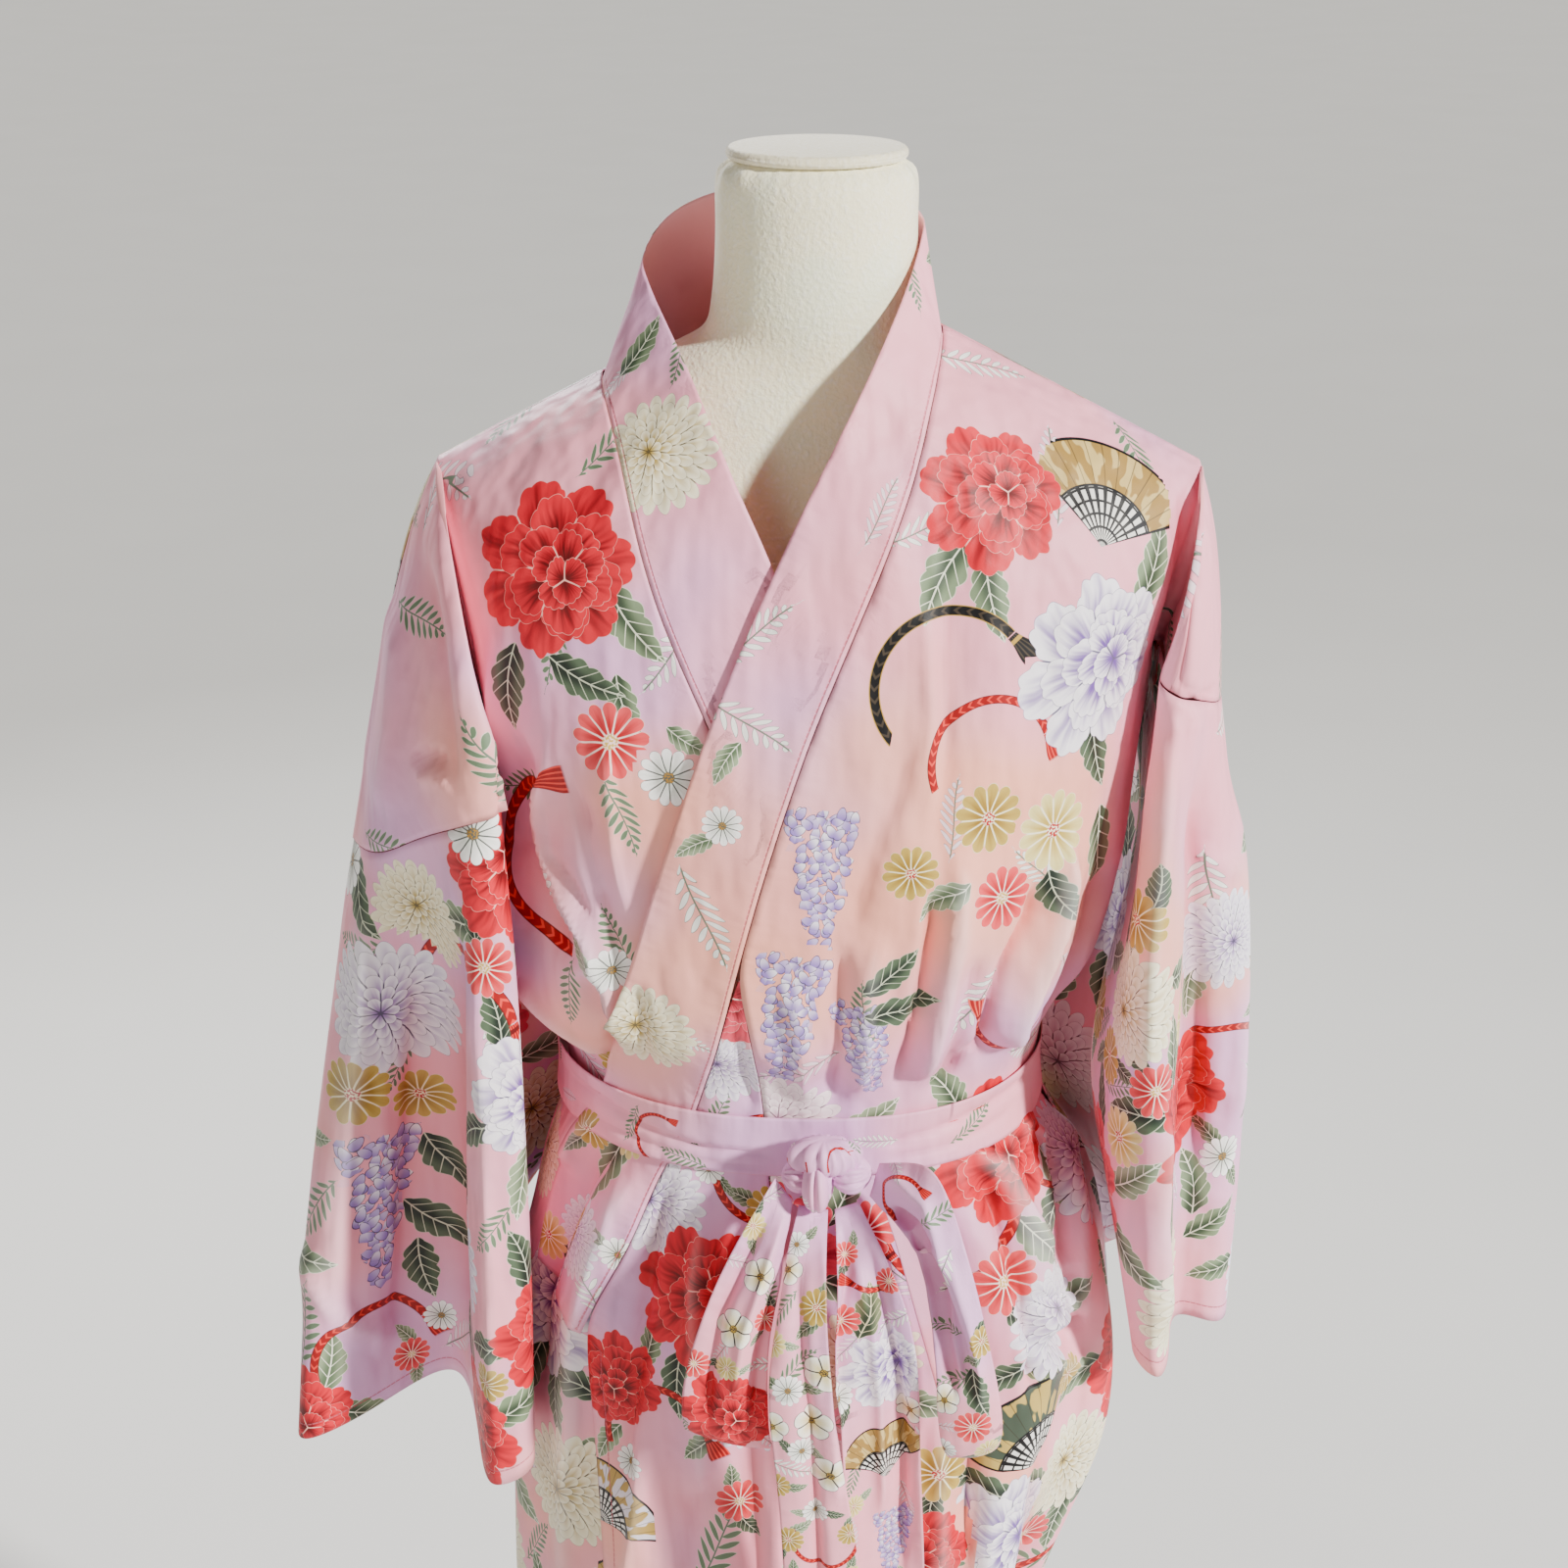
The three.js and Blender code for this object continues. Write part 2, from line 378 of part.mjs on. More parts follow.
// how much of the under layer is covered by the top front, and how far inside it that part lies
const topFreeByHeight = topFree.map(({ x, z }) => ({ x, z }));
const topEdgeX = (z) => (z > topFree[topFree.length - 1].z ? rowAt(topFreeByHeight, 'z', z).x : rowAt(topSeam, 'z', z).x);
const underCover = (x, z) => smooth((x - topEdgeX(z) + covering.before) / covering.over)
  * smooth((covering.top - z) / covering.fade);
function coverDepth(x, z) {
  return LAYER + rowAt(coveredDepth, 'z', z).extra * smooth((x - topEdgeX(z) - covering.deepFrom) / covering.deepOver);
}
const backCover = (turn, z) => underCover(-rowAt(bodySections, 'z', z).minus, z) * smooth((covering.sideTurn - turn) / covering.sideFade);

// height of a cloth row at a place across the body
const ROWS = YOKE_ROWS.minus + 1 + lowerRowHeights.length;
function rowHeight(row, x, sideName) {
  if (row > YOKE_ROWS.minus) return lowerRowHeights[row - YOKE_ROWS.minus - 1];
  const yokeRows = YOKE_ROWS[sideName];
  const armpit = sides[sideName].armpitZ;
  if (row <= yokeRows) return mix(shoulderZ(x), armpit, (row / yokeRows) ** SHOULDER_EASE);
  return mix(armpit, sides.minus.armpitZ, (row - yokeRows) / (YOKE_ROWS.minus - yokeRows));
}
// the place on a row where x is found from the height by a rule
function solveRow(row, sideName, xOfZ) {
  let z = sides[sideName].armpitZ;
  let x = xOfZ(z);
  for (let pass = 0; pass < SOLVE_PASSES; pass += 1) {
    z = rowHeight(row, x, sideName);
    x = xOfZ(z);
  }
  return { x, z };
}

// ---- fronts ----
function frontPoint(row, share, side, seam, shift) {
  const edge = solveRow(row, side, seam);
  const edgeTurn = turnAt(edge.x, edge.z);
  if (share === 0) return bodyPoint(edgeTurn, edge.z, -1, shift(edge.x, edge.z));
  const sideTurn = sides[side].sign * 90;
  const turn = share === 1 ? sideTurn : mix(edgeTurn, sideTurn, share);
  const place = solveRow(row, side, (z) => Math.sign(turn) * rowAt(bodySections, 'z', z)[turn < 0 ? 'minus' : 'plus']
    * Math.abs(Math.sin((turn * Math.PI) / 180)) ** (2 / SECTION_POWER));
  return bodyPoint(turn, place.z, -1, shift(place.x, place.z));
}
function grid(rows, columns, point) {
  return Array.from({ length: rows + 1 }, (_, row) => Array.from({ length: columns + 1 }, (__, column) => point(row, column)));
}
const OVERLAP_ROW = YOKE_ROWS.minus + 1 + lowerRowHeights.indexOf(OVERLAP_TOP_Z);
const BAND_END_ROW = YOKE_ROWS.minus + 1 + lowerRowHeights.indexOf(COLLAR_END_Z);
const uncovered = () => 0;

// the front edge of a front panel: the band's seam above, the overlap panel's seam below
const frontEdge = (seam, overlapSeam) => (z) => rowAt(z > OVERLAP_TOP_Z ? seam : overlapSeam, 'z', z).x;
function frontPanel(side, seam, overlapSeam, shift) {
  const edge = frontEdge(seam, overlapSeam);
  return grid(ROWS - 1, FRONT_COLUMNS, (row, column) => frontPoint(row, column / FRONT_COLUMNS, side, edge, shift));
}
function overlapPanel(side, seam, overlapSeam, shift) {
  return grid(ROWS - 1 - OVERLAP_ROW, OVERLAP_COLUMNS, (step, column) => {
    const z = rowHeight(OVERLAP_ROW + step, 0, side);
    const from = turnAt(rowAt(seam, 'z', z).x, z);
    const to = turnAt(rowAt(overlapSeam, 'z', z).x, z);
    const turn = column === 0 ? from : mix(from, to, column / OVERLAP_COLUMNS);
    const x = mix(rowAt(seam, 'z', z).x, rowAt(overlapSeam, 'z', z).x, column / OVERLAP_COLUMNS);
    return bodyPoint(column === OVERLAP_COLUMNS ? to : turn, z, -1, shift(x, z));
  });
}
// the band beside a front: column 0 on the seam, the last on its free edge
function frontBand(side, seam, free, shift) {
  return grid(BAND_END_ROW, BAND_COLUMNS, (row, column) => {
    const start = solveRow(row, side, (z) => rowAt(seam, 'z', z).x);
    const base = bodyPoint(turnAt(start.x, start.z), start.z, -1, shift(start.x, start.z));
    if (column === 0) return base;
    const end = rowAt(free, 'seam', start.z);
    const share = column / BAND_COLUMNS;
    const x = mix(base.x, end.x, share);
    const z = mix(base.z, end.z, share);
    const lying = bodyPoint(turnAt(x, z), z, -1, shift(x, z)).y;
    return { x, y: mix(lying, mix(base.y, end.y, share), end.stand), z };
  });
}

// ---- back ----
const neckTurns = { minus: turnAt(underSeam[0].x, shoulderZ(underSeam[0].x)), plus: turnAt(topSeam[0].x, shoulderZ(topSeam[0].x)) };
const BACK_COLUMNS = 2 * FRONT_COLUMNS + NECK_COLUMNS;
function backTurn(column) {
  if (column <= FRONT_COLUMNS) return mix(-90, neckTurns.minus, column / FRONT_COLUMNS);
  if (column >= FRONT_COLUMNS + NECK_COLUMNS) {
    return mix(neckTurns.plus, 90, (column - FRONT_COLUMNS - NECK_COLUMNS) / FRONT_COLUMNS);
  }
  return mix(neckTurns.minus, neckTurns.plus, (column - FRONT_COLUMNS) / NECK_COLUMNS);
}
function backPoint(row, column) {
  const turn = backTurn(column);
  const neckShare = clamp((column - FRONT_COLUMNS) / NECK_COLUMNS, 0, 1);
  const across = (z) => Math.sign(turn) * rowAt(bodySections, 'z', z)[turn < 0 ? 'minus' : 'plus']
    * Math.abs(Math.sin((turn * Math.PI) / 180)) ** (2 / SECTION_POWER);
  const onMinus = solveRow(row, 'minus', across);
  const onPlus = solveRow(row, 'plus', across);
  const neckDrop = NECK_DROP * Math.sin(Math.PI * neckShare) ** NECK_DROP_POWER
    * (1 - Math.min(1, row / YOKE_ROWS.minus) ** SHOULDER_EASE);
  const z = mix(onMinus.z, onPlus.z, smooth(neckShare)) - (neckShare > 0 && neckShare < 1 ? neckDrop : 0);
  return bodyPoint(turn, z, 1, backCover(turn, z));
}
const backGrid = grid(ROWS - 1, BACK_COLUMNS, backPoint);

// the band behind the neck, from the right front's band to the left front's
const backBand = grid(NECK_COLUMNS, BAND_COLUMNS, (step, column) => {
  const base = backGrid[0][FRONT_COLUMNS + step];
  if (column === 0) return base;
  return mixPoints(base, rowAt(backFree, 'share', step / NECK_COLUMNS), column / BAND_COLUMNS);
});

// ---- arm parts and sleeves ----
const FLAP_GROWTH = 0.7;        // how soon an arm part takes the shape of its sleeve seam
const SLEEVE_LENGTH = 400;
function closedLine(points, samples) {
  const count = points.length;
  const result = [];
  for (let i = 0; i < count; i += 1) {
    const [p0, p1, p2, p3] = [-1, 0, 1, 2].map((k) => points[(i + k + count) % count]);
    for (let s = 0; s < samples; s += 1) {
      const t = s / samples;
      const place = (name) => 0.5 * (2 * p1[name] + (p2[name] - p0[name]) * t
        + (2 * p0[name] - 5 * p1[name] + 4 * p2[name] - p3[name]) * t * t
        + (3 * p1[name] - p0[name] - 3 * p2[name] + p3[name]) * t ** 3);
      result.push({ x: place('x'), y: place('y'), z: place('z') });
    }
  }
  return result;
}
const RING_LINES = [...FRONT_LINES, ...BACK_LINES.slice(1, -1)];
function sleeveRing(side, level) {
  const { sign, lines } = sides[side];
  const points = RING_LINES.map((name) => {
    const rows = lines[name].map((row, index) => ({ ...row, level: index / (lines[name].length - 1) }));
    const { x, y, z } = rowAt(rows, 'level', level);
    return { x: sign * x, y, z };
  });
  return closedLine(points, SAMPLES_PER_LINE);
}
const FRONT_RING = (FRONT_LINES.length - 1) * SAMPLES_PER_LINE;
// the part of a panel that hangs past the shoulder tip, between the crease and the shoulder fold
function armFlap(side, half) {
  const { sign, tip, fall } = sides[side];
  const ring = sleeveRing(side, 0);
  const seam = half < 0 ? ring.slice(0, FRONT_RING + 1) : [ring[0], ...ring.slice(FRONT_RING).reverse()];
  const armpit = seam[0];
  const ridgeEnd = seam[seam.length - 1];
  const rows = YOKE_ROWS[side];
  const tipZ = shoulderZ(tip);
  return grid(rows, seam.length - 1, (row, column) => {
    if (row === rows) return seam[column];
    const share = column / (seam.length - 1);
    const crease = half < 0 ? frontPoint(row, 1, side, () => 0, uncovered) : backGrid[row][side === 'minus' ? 0 : BACK_COLUMNS];
    if (column === 0) return crease;
    const fallRow = rowAt(fall, 'share', row / rows);
    const ridge = row === 0 ? { x: sign * tip, y: 0, z: tipZ } : { x: sign * fallRow.x, y: 0, z: tipZ - fallRow.z };
    if (row === 0) return backGrid[0][side === 'minus' ? 0 : BACK_COLUMNS];
    if (column === seam.length - 1) return ridge;
    const chord = mixPoints(armpit, ridgeEnd, share);
    const grown = (row / rows) ** FLAP_GROWTH;
    const place = mixPoints(crease, ridge, share);
    return {
      x: place.x + (seam[column].x - chord.x) * grown,
      y: place.y + (seam[column].y - chord.y) * grown,
      z: place.z + (seam[column].z - chord.z) * grown,
    };
  });
}
function sleeveGrid(side) {
  return Array.from({ length: SLEEVE_LEVELS + 1 }, (_, level) => {
    const ring = sleeveRing(side, level / SLEEVE_LEVELS);
    return [...ring, ring[0]];
  });
}

// ---- sash ----
const beltGrid = grid(2, BELT_COLUMNS, (row, column) => {
  const turn = ((column % BELT_COLUMNS) * 360) / BELT_COLUMNS - 180;
  const half = Math.abs(turn) < 90 ? -1 : 1;
  const across = half < 0 ? turn : Math.sign(turn) * 180 - turn;
  return bodyPoint(across, BELT_Z + (BELT_WIDTH / 2) * (1 - row), half, 0, BELT_LIFT);
});
const STEPS_PER_ROW = 2;
const SWELL_ROWS = 2;           // rows over which a strip takes its full swell
const RETURN_SWELL = -0.4;      // swell of a loop's returning half, which bulges the other way
function stripGrid({ rows, crown, loop }) {
  const stations = rows.map((row, index) => ({ ...row, at: index }));
  return grid((rows.length - 1) * STEPS_PER_ROW, STRIP_COLUMNS, (step, column) => {
    const at = step / STEPS_PER_ROW;
    const row = rowAt(stations, 'at', at);
    const share = column / STRIP_COLUMNS;
    const swell = crown * Math.sin(Math.PI * share) * Math.min(1, at / SWELL_ROWS);
    const turned = loop && at > (rows.length - 1) / 2 ? RETURN_SWELL : 1;
    return {
      x: mix(row.ax, row.bx, share),
      y: mix(row.ay, row.by, share) - swell * turned,
      z: mix(row.az, row.bz, share),
    };
  });
}

// ---- turning outer points into a closed wall ----
const KEYS_PER_MM = 500;        // points closer than this are one
const keyOf = (p) => [p.x, p.y, p.z].map((value) => Math.round(value * KEYS_PER_MM)).join();

function surfaceOf(grids, inside) {
  const points = [];
  const indexOf = new Map();
  const index = (p) => {
    const key = keyOf(p);
    if (!indexOf.has(key)) {
      indexOf.set(key, points.length);
      points.push(new THREE.Vector3(p.x, p.y, p.z));
    }
    return indexOf.get(key);
  };
  const faces = [];
  for (const cells of grids) {
    for (let i = 0; i + 1 < cells.length; i += 1) {
      for (let j = 0; j + 1 < cells[i].length; j += 1) {
        const [a, b, c, d] = [cells[i][j], cells[i][j + 1], cells[i + 1][j + 1], cells[i + 1][j]].map(index);
        if (new Set([a, b, c]).size === 3) faces.push([a, b, c]);
        if (new Set([a, c, d]).size === 3) faces.push([a, c, d]);
      }
    }
  }
  orient(points, faces, inside);
  return { points, faces };
}
// make neighbouring faces agree, then point them away from the inside
function orient(points, faces, inside) {
  const byEdge = new Map();
  faces.forEach((face, number) => {
    for (let k = 0; k < 3; k += 1) {
      const edge = [face[k], face[(k + 1) % 3]].sort((p, q) => p - q).join();
      byEdge.set(edge, [...(byEdge.get(edge) ?? []), number]);
    }
  });
  const seen = new Set([0]);
  const queue = [0];
  while (queue.length) {
    const face = faces[queue.pop()];
    for (let k = 0; k < 3; k += 1) {
      const [from, to] = [face[k], face[(k + 1) % 3]];
      for (const other of byEdge.get([from, to].sort((p, q) => p - q).join())) {
        if (!seen.has(other)) {
          const next = faces[other];
          const sameWay = [0, 1, 2].some((m) => next[m] === from && next[(m + 1) % 3] === to);
          if (sameWay) next.reverse();
          seen.add(other);
          queue.push(other);
        }
      }
    }
  }
  let outward = 0;
  for (const face of faces) {
    const normal = faceNormal(points, face);
    const centre = points[face[0]].clone().add(points[face[1]]).add(points[face[2]]).divideScalar(3);
    outward += normal.dot(centre.clone().sub(inside(centre)));
  }
  if (outward < 0) faces.forEach((face) => face.reverse());
}
function faceNormal(points, [a, b, c]) {
  return points[b].clone().sub(points[a]).cross(points[c].clone().sub(points[a]));
}

const pieces = [];
function addPiece(name, grids, inside, sewn) {
  pieces.push({ name, sewn, ...surfaceOf(grids, inside) });
}

// joined pieces share one normal at a seam, so their walls meet squarely there
function sharedNormals() {
  const shared = new Map();
  for (const piece of pieces) {
    piece.normals = piece.points.map(() => new THREE.Vector3());
    for (const face of piece.faces) {
      const normal = faceNormal(piece.points, face);
      face.forEach((corner, k) => {
        const here = piece.points[corner];
        const one = piece.points[face[(k + 1) % 3]].clone().sub(here);
        const two = piece.points[face[(k + 2) % 3]].clone().sub(here);
        piece.normals[corner].addScaledVector(normal.clone().normalize(), one.angleTo(two));
      });
    }
  }
  const armpits = new Set(['minus', 'plus'].map((side) => keyOf(sleeveRing(side, 0)[0])));
  for (const piece of pieces.filter((item) => item.sewn)) {
    piece.points.forEach((p, i) => {
      const key = keyOf(p);
      if (!shared.has(key)) shared.set(key, new THREE.Vector3());
      shared.get(key).add(piece.normals[i]);
    });
  }
  for (const piece of pieces) {
    piece.normals = piece.normals.map((normal, i) => {
      const key = keyOf(piece.points[i]);
      return (piece.sewn && !armpits.has(key) ? shared.get(key).clone() : normal.clone()).normalize();
    });
    piece.armpits = armpits;
  }
}

function wallGeometry({ points, faces, normals, armpits }) {
  const edges = new Map();
  for (const face of faces) {
    for (let k = 0; k < 3; k += 1) edges.set(`${face[k]},${face[(k + 1) % 3]}`, face);
  }
  const rim = [...edges].filter(([edge]) => !edges.has(edge.split(',').reverse().join()));
  const pull = points.map(() => new THREE.Vector3());
  for (const [edge, face] of rim) {
    const [from, to] = edge.split(',').map(Number);
    const across = points[to].clone().sub(points[from]).normalize();
    const inward = faceNormal(points, face).normalize().cross(across).normalize();
    pull[from].add(inward);
    pull[to].add(inward);
  }
  const outer = points.map((p, i) => {
    const distance = armpits.has(keyOf(p)) ? ARMPIT_PULL : SEAM_PULL;
    return pull[i].lengthSq() > 0 ? p.clone().addScaledVector(pull[i].normalize(), distance) : p.clone();
  });
  const inner = outer.map((p, i) => p.clone().addScaledVector(normals[i], -WALL));
  const count = points.length;
  const triangles = faces.flatMap(([a, b, c]) => [a, b, c, count + a, count + c, count + b]);
  for (const [edge] of rim) {
    const [from, to] = edge.split(',').map(Number);
    triangles.push(to, from, count + from, to, count + from, count + to);
  }
  return meshFrom([...outer, ...inner], triangles);
}
function meshFrom(points, triangles) {
  const geometry = new THREE.BufferGeometry();
  geometry.setAttribute('position', new THREE.Float32BufferAttribute(points.flatMap((p) => [p.x, p.y, p.z]), 3));
  geometry.setIndex(triangles);
  geometry.computeVertexNormals();
  return geometry;
}

// ---- solids with plan sections ----
function ovalRing({ half, front, back, power, z }, count) {
  return Array.from({ length: count }, (_, i) => {
    const angle = (i / count) * 2 * Math.PI;
    const x = Math.sign(Math.cos(angle)) * half * Math.abs(Math.cos(angle)) ** (2 / power);
    const y = Math.sin(angle);
    return { x, y: y < 0 ? y * front : y * back, z };
  });
}
function stackedSolid(rings) {
  const count = rings[0].length;
  const points = [...rings.flat(), { x: 0, y: 0, z: rings[0][0].z }, { x: 0, y: 0, z: rings[rings.length - 1][0].z }];
  const [bottom, top] = [points.length - 2, points.length - 1];
  const triangles = [];
  for (let i = 0; i < count; i += 1) {
    const next = (i + 1) % count;
    for (let r = 0; r + 1 < rings.length; r += 1) {
      const [a, b] = [r * count + i, r * count + next];
      triangles.push(a, b, b + count, a, b + count, a + count);
    }
    const last = (rings.length - 1) * count;
    triangles.push(bottom, next, i, top, last + i, last + next);
  }
  return meshFrom(points, triangles);
}

// ---- colours ----
const satin = { color: 0xf0b4c4, roughness: 0.45, metalness: 0 };
const satinDeep = { color: 0xe2889a, roughness: 0.45, metalness: 0 };
const velour = { color: 0xf1efe2, roughness: 0.95, metalness: 0 };
const steel = { color: 0xb9bcc0, roughness: 0.35, metalness: 0.9 };

const robeOnForm = new THREE.Group();
function place(name, geometry, finish) {
  const mesh = new THREE.Mesh(geometry, new THREE.MeshStandardMaterial(finish));
  mesh.name = name;
  robeOnForm.add(mesh);
  return mesh;
}

// ---- the robe ----
const bodyAxis = (centre) => new THREE.Vector3(0, 0, centre.z);
const COLLAR_LEAN = 40;         // the band is seen from a point this much lower on the axis
const above = (centre) => new THREE.Vector3(0, 0, centre.z - COLLAR_LEAN);
const sleeveAxis = (side) => (centre) => {
  const ring = sleeveRing(side, clamp((sides[side].armpitZ - centre.z) / SLEEVE_LENGTH, 0, 1));
  const middle = ring.reduce((sum, p) => sum.add(new THREE.Vector3(p.x, p.y, 0)), new THREE.Vector3());
  return middle.divideScalar(ring.length).setZ(centre.z);
};
addPiece('back', [backGrid, armFlap('minus', 1), armFlap('plus', 1)], bodyAxis, true);
addPiece('front_left', [frontPanel('plus', topSeam, topOverlapSeam, uncovered), armFlap('plus', -1)], bodyAxis, true);
addPiece('front_right', [frontPanel('minus', underSeam, underOverlapSeam, underCover), armFlap('minus', -1)], bodyAxis, true);
addPiece('overlap_left', [overlapPanel('plus', topSeam, topOverlapSeam, uncovered)], bodyAxis, true);
addPiece('overlap_right', [overlapPanel('minus', underSeam, underOverlapSeam, underCover)], bodyAxis, true);
addPiece('collar', [frontBand('plus', topSeam, topFree, uncovered), backBand, frontBand('minus', underSeam, underFree, underCover)],
  above, true);
addPiece('sleeve_left', [sleeveGrid('plus')], sleeveAxis('plus'), true);
addPiece('sleeve_right', [sleeveGrid('minus')], sleeveAxis('minus'), true);
addPiece('belt_waist', [beltGrid], bodyAxis, false);
for (const [name, strip] of Object.entries(sashStrips)) addPiece(name, [stripGrid(strip)], bodyAxis, false);
sharedNormals();
for (const piece of pieces) place(piece.name, wallGeometry(piece), piece.name.startsWith('be') ? satinDeep : satin);

const knot = new THREE.SphereGeometry(1, 20, 12);
knot.scale(KNOT.halfWidth, KNOT.halfDepth, KNOT.halfHeight);
place('belt_knot', knot, satinDeep).position.set(KNOT.x, KNOT.y, KNOT.z);

// ---- the form and its stand ----
place('form_body', stackedSolid(formSections.map((section) => ovalRing(section, OVAL_SIDES))), velour);
const capRing = (inset, z) => ovalRing({ half: NECK_CAP.half - inset, front: NECK_CAP.depth - inset,
  back: NECK_CAP.depth - inset, power: 2, z }, OVAL_SIDES);
place('neck_cap', stackedSolid([capRing(0, NECK_CAP.bottom), capRing(0, NECK_CAP.top - NECK_CAP.bevel),
  capRing(NECK_CAP.bevel, NECK_CAP.top)]), velour);
const upright = (radius, height, bottom, sidesCount) => {
  const cylinder = new THREE.CylinderGeometry(radius, radius, height, sidesCount);
  cylinder.rotateX(Math.PI / 2);
  cylinder.translate(0, 0, bottom + height / 2);
  return cylinder;
};
const GAP = 0.3;
place('stand_base', upright(BASE_RADIUS, BASE_HEIGHT, 0, BASE_SIDES), steel);
place('stand_pole', upright(POLE_RADIUS, FORM_BOTTOM_Z - BASE_HEIGHT - 2 * GAP, BASE_HEIGHT + GAP, POLE_SIDES), steel);

export default robeOnForm;
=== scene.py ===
import heapq
import math
import random

import bmesh
import bpy
import numpy as np
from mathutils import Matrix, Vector
from mathutils.bvhtree import BVHTree
from mathutils.kdtree import KDTree


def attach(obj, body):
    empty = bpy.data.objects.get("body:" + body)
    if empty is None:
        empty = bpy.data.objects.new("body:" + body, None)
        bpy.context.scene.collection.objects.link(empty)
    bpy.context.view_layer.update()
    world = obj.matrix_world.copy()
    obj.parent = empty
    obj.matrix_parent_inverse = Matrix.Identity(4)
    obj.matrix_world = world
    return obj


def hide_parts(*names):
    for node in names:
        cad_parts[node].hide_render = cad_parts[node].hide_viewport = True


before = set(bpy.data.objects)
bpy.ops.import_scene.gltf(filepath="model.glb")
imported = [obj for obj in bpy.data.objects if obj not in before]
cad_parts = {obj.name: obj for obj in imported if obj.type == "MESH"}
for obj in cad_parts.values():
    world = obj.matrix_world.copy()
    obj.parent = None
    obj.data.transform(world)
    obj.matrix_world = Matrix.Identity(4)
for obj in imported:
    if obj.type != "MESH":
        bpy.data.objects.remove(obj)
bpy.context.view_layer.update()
mm = 0.001
print("frame loaded", flush=True)

# camera, light and floor
camera = {"at": (-0.016, -1.220, 1.6863), "tilt": 67, "lens": 56.63}
sun = {"from": (1.9, -1.35, 1.25), "strength": 7.4, "spread": 5, "tint": (1, 0.965, 0.91)}
lamps = [
    {"name": "warm_fill", "at": (-1.5, -2.2, 1.9), "aim": (0, 0, 1.2), "size": 1.4, "power": 22,
     "tint": (1, 0.86, 0.76)},
    {"name": "back_lamp", "at": (-1.0, 2.2, 2.2), "aim": (0, 0, 1.1), "size": 0.9, "power": 70,
     "tint": (1, 1, 1)},
    {"name": "side_lamp", "at": (2.4, 0.6, 1.6), "aim": (0, 0, 1.0), "size": 1.0, "power": 34,
     "tint": (0.95, 0.97, 1)},
]
skyStrength = 0.08


def linear(code):  # hex colour to linear values
    parts = [int(code[i:i + 2], 16) / 255 for i in (0, 2, 4)]
    return tuple(p / 12.92 if p <= 0.04045 else ((p + 0.055) / 1.055) ** 2.4 for p in parts) + (1,)


def setTheStage():
    lens = bpy.data.cameras.new("camera")
    lens.lens, lens.sensor_width = camera["lens"], 36
    eye = bpy.data.objects.new("camera", lens)
    eye.location, eye.rotation_euler = camera["at"], (math.radians(camera["tilt"]), 0, 0)
    bpy.context.scene.collection.objects.link(eye)
    bpy.context.scene.camera = eye
    for row in lamps:
        lamp = bpy.data.lights.new(row["name"], "AREA")
        lamp.energy, lamp.size, lamp.color = row["power"], row["size"], row["tint"]
        holder = bpy.data.objects.new(row["name"], lamp)
        holder.location = row["at"]
        holder.rotation_euler = (Vector(row["aim"]) - Vector(row["at"])).to_track_quat("-Z", "Y").to_euler()
        bpy.context.scene.collection.objects.link(holder)
    lamp = bpy.data.lights.new("sun", "SUN")
    lamp.energy, lamp.angle, lamp.color = sun["strength"], math.radians(sun["spread"]), sun["tint"]
    holder = bpy.data.objects.new("sun", lamp)
    holder.rotation_euler = Vector(sun["from"]).to_track_quat("Z", "Y").to_euler()
    bpy.context.scene.collection.objects.link(holder)
    world = bpy.data.worlds.new("studio")
    world.use_nodes = True
    world.node_tree.nodes["Background"].inputs["Color"].default_value = (0.93, 0.95, 1, 1)
    world.node_tree.nodes["Background"].inputs["Strength"].default_value = skyStrength
    bpy.context.scene.world = world
    bpy.ops.mesh.primitive_plane_add(size=60, location=(0, 0, 0))
    floor = bpy.context.object
    floor.name = "floor"
    return floor


bpy.ops.object.select_all(action="DESELECT")
floor = setTheStage()
print("stage set", flush=True)


# material helpers
mostVariants = 4.0  # colour variants that a motif can have


